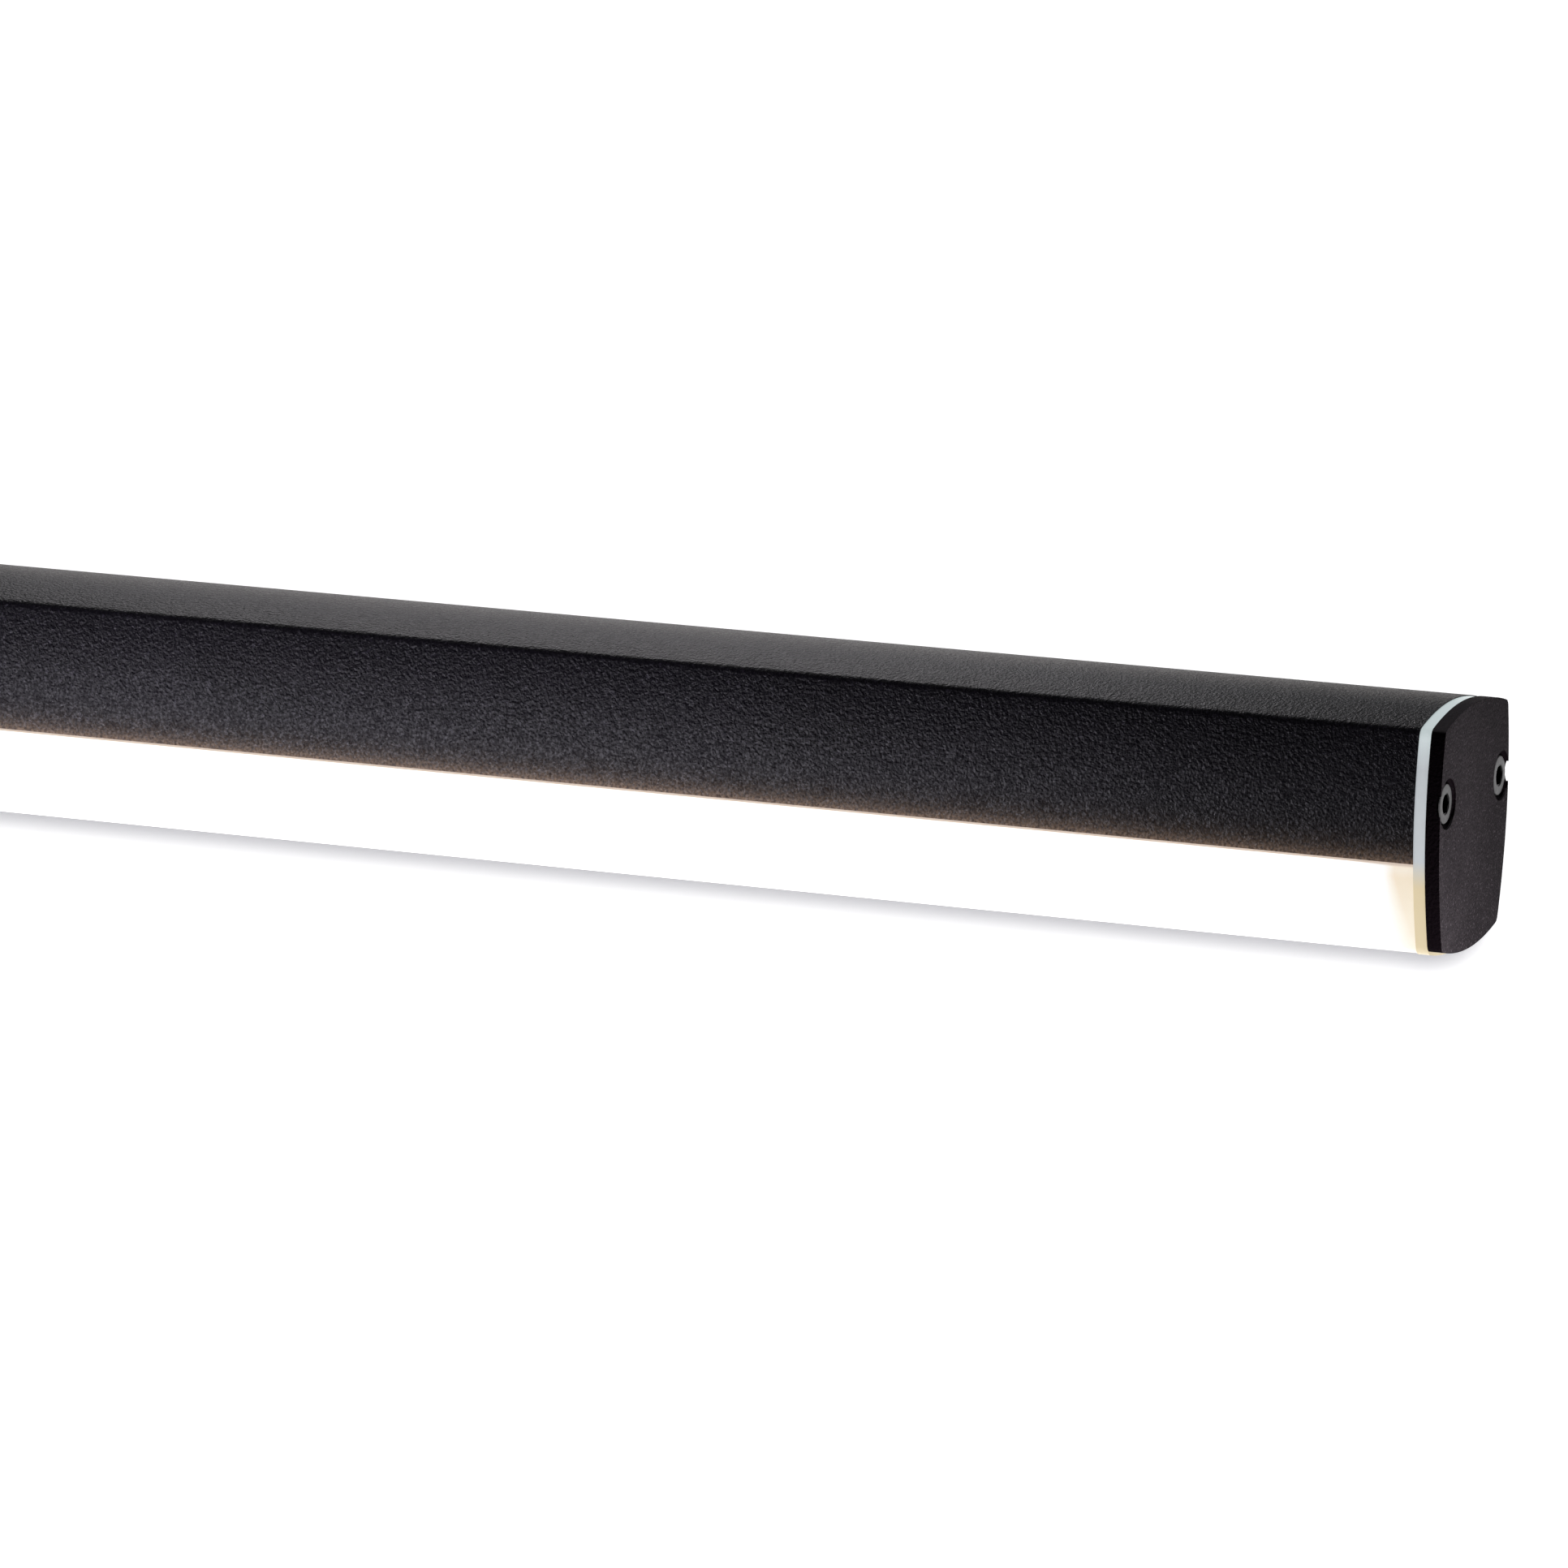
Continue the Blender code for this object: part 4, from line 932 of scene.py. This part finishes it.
def add_floor():
    half_side = 30.0        # metres
    clearance = 1.0
    mesh = bpy.data.meshes.new("floor")
    shape = bmesh.new()
    bmesh.ops.create_grid(shape, x_segments=1, y_segments=1, size=half_side)
    shape.to_mesh(mesh)
    shape.free()
    floor = link(bpy.data.objects.new("floor", mesh))
    floor.location = (0.0, 0.0, -(CANOPY_RADIUS + clearance) * MM)
    floor.data.materials.append(floor_material())
    return floor


def group_of(name, objects):
    group = bpy.data.collections.new(name)
    for obj in objects:
        group.objects.link(obj)
    return group


def only_lights(lamp, objects):
    """Let a lamp light just these objects."""
    lamp.light_linking.receiver_collection = group_of(lamp.name + "_lights", objects)


def only_shadows(lamp, objects):
    """Let just these objects cast this lamp's shadow."""
    lamp.light_linking.blocker_collection = group_of(lamp.name + "_shadows", objects)


def aim(obj, target):
    direction = Vector(target) - obj.location
    obj.rotation_euler = direction.to_track_quat("-Z", "Y").to_euler()


def add_area(name, place, target, size, power, colour, receivers):
    """A soft box that lights some of the pieces but isn't seen itself."""
    data = bpy.data.lights.new(name, "AREA")
    data.shape = "RECTANGLE"
    data.size = size[0] * MM
    data.size_y = size[1] * MM
    data.energy = power
    data.color = colour
    lamp = link(bpy.data.objects.new(name, data))
    lamp.location = Vector(place) * MM
    lamp.visible_camera = False
    aim(lamp, Vector(target) * MM)
    only_lights(lamp, receivers)


def add_shadow_lamp(floor, bar):
    """A distant lamp, nearly in line with the camera, that draws the bar's shadow."""
    around = math.radians(17.9)
    up = math.radians(12.3)
    distance = 3.0          # metres; only the direction counts
    data = bpy.data.lights.new("shadow_lamp", "SUN")
    data.energy = 10.5
    data.angle = math.radians(1.75)
    data.color = (1.0, 1.0, 0.97)
    lamp = link(bpy.data.objects.new("shadow_lamp", data))
    lamp.location = Vector((
        math.sin(around) * math.cos(up), -math.cos(around) * math.cos(up), math.sin(up),
    )) * distance
    aim(lamp, (0.0, 0.0, 0.0))
    only_lights(lamp, [floor])
    only_shadows(lamp, bar)


def add_world():
    """Pale near the horizon, dim in front above it and softly lit behind and overhead."""
    world = bpy.data.worlds.new("studio")
    bpy.context.scene.world = world
    world.use_nodes = True
    w = Tree(world.node_tree)
    direction = w.add("ShaderNodeTexCoord").outputs["Generated"]
    behind = w.span(w.part(direction, "Y"), -0.2, 0.6, 0.05, 0.32, "SMOOTHSTEP")
    overhead = w.span(w.part(direction, "Z"), 0.4, 0.95, 0.0, 0.30, "SMOOTHSTEP")
    horizon = w.span(w.part(direction, "Z"), 0.08, 0.20, 1.0, 0.0, "SMOOTHSTEP")
    background = w.tree.nodes["Background"]
    strength = w.math("MAXIMUM", w.math("MAXIMUM", behind, overhead), horizon)
    w.feed(background.inputs["Strength"], strength)
    w.feed(background.inputs["Color"], (0.97, 0.97, 1.0, 1.0))


def starting(pieces, *starts):
    return [piece for piece in pieces if piece.name.startswith(starts)]


def add_lights(floor, pieces):
    """Soft boxes round the bar, each for the pieces that it should bring out."""
    bar = starting(pieces, "cover", "diffuser", "plate_", "cap_")
    add_world()
    add_shadow_lamp(floor, bar)
    add_area(
        "left_glow",
        place=(40.0, BAR_Y - 139.6, BAR_Z - 41.8),
        target=(40.0, BAR_Y - HALF_DEPTH, BAR_Z + 3.2),
        size=(370.0, 16.0),
        power=1.45,
        colour=(0.94, 0.91, 1.0),
        receivers=starting(pieces, "cover", "stem_", "canopy"),
    )
    add_area(
        "rim_glow",
        place=(50.0, BAR_Y + 910.4, BAR_Z + 68.2),
        target=(200.0, BAR_Y + 0.4, BAR_Z + 8.2),
        size=(2200.0, 120.0),
        power=0.25,
        colour=(1.0, 0.74, 0.50),
        receivers=pieces,
    )
    add_area(
        "back_glow",
        place=(50.0, BAR_Y + 250.4, BAR_Z + 218.2),
        target=(180.0, BAR_Y + 0.4, BAR_Z + 8.2),
        size=(240.0, 160.0),
        power=0.36,
        colour=(1.0, 0.96, 1.0),
        receivers=bar,
    )
    add_area(
        "cap_glow",
        place=(CAP_OUTER_X + 38.0, BAR_Y - 29.0, BAR_Z - 44.0),
        target=(CAP_OUTER_X, BAR_Y, BAR_Z - 5.0),
        size=(20.0, 20.0),
        power=0.44,
        colour=(1.0, 0.95, 1.0),
        receivers=starting(pieces, "cap_"),
    )
    add_area(
        "screw_glint",
        place=(CAP_OUTER_X - 25.0, BAR_Y - 70.0, BAR_Z + 8.0),
        target=(CAP_OUTER_X, BAR_Y - PORT_U, BAR_Z + PORT_V),
        size=(30.0, 30.0),
        power=0.10,
        colour=(1.0, 1.0, 1.0),
        receivers=starting(pieces, "screw_"),
    )


def set_view():
    """Plain colours: no film curve and no exposure change."""
    view = bpy.context.scene.view_settings
    view.view_transform = "Standard"
    view.look = "None"
    view.exposure = 0.0
    view.gamma = 1.0


# ---- put together -------------------------------------------------------------------
set_view()
add_camera()
build_cover()
build_diffuser()
build_plates(plate_material())
build_caps(cap_material())
build_cap_screws(cap_screw_material())
satin_black = powder_coat("stem_powder_coat", STEM_BLACK, rough=0.46, ior=1.45).material
build_stems(satin_black)
build_canopy(satin_black)
screw_black = powder_coat("side_screw_black", SIDE_SCREW_BLACK, rough=0.35, ior=1.5).material
build_side_screws(screw_black)
dress_inner_nodes()
pieces = [o for o in bpy.context.scene.objects if o.type == "MESH"]
add_lights(add_floor(), pieces)
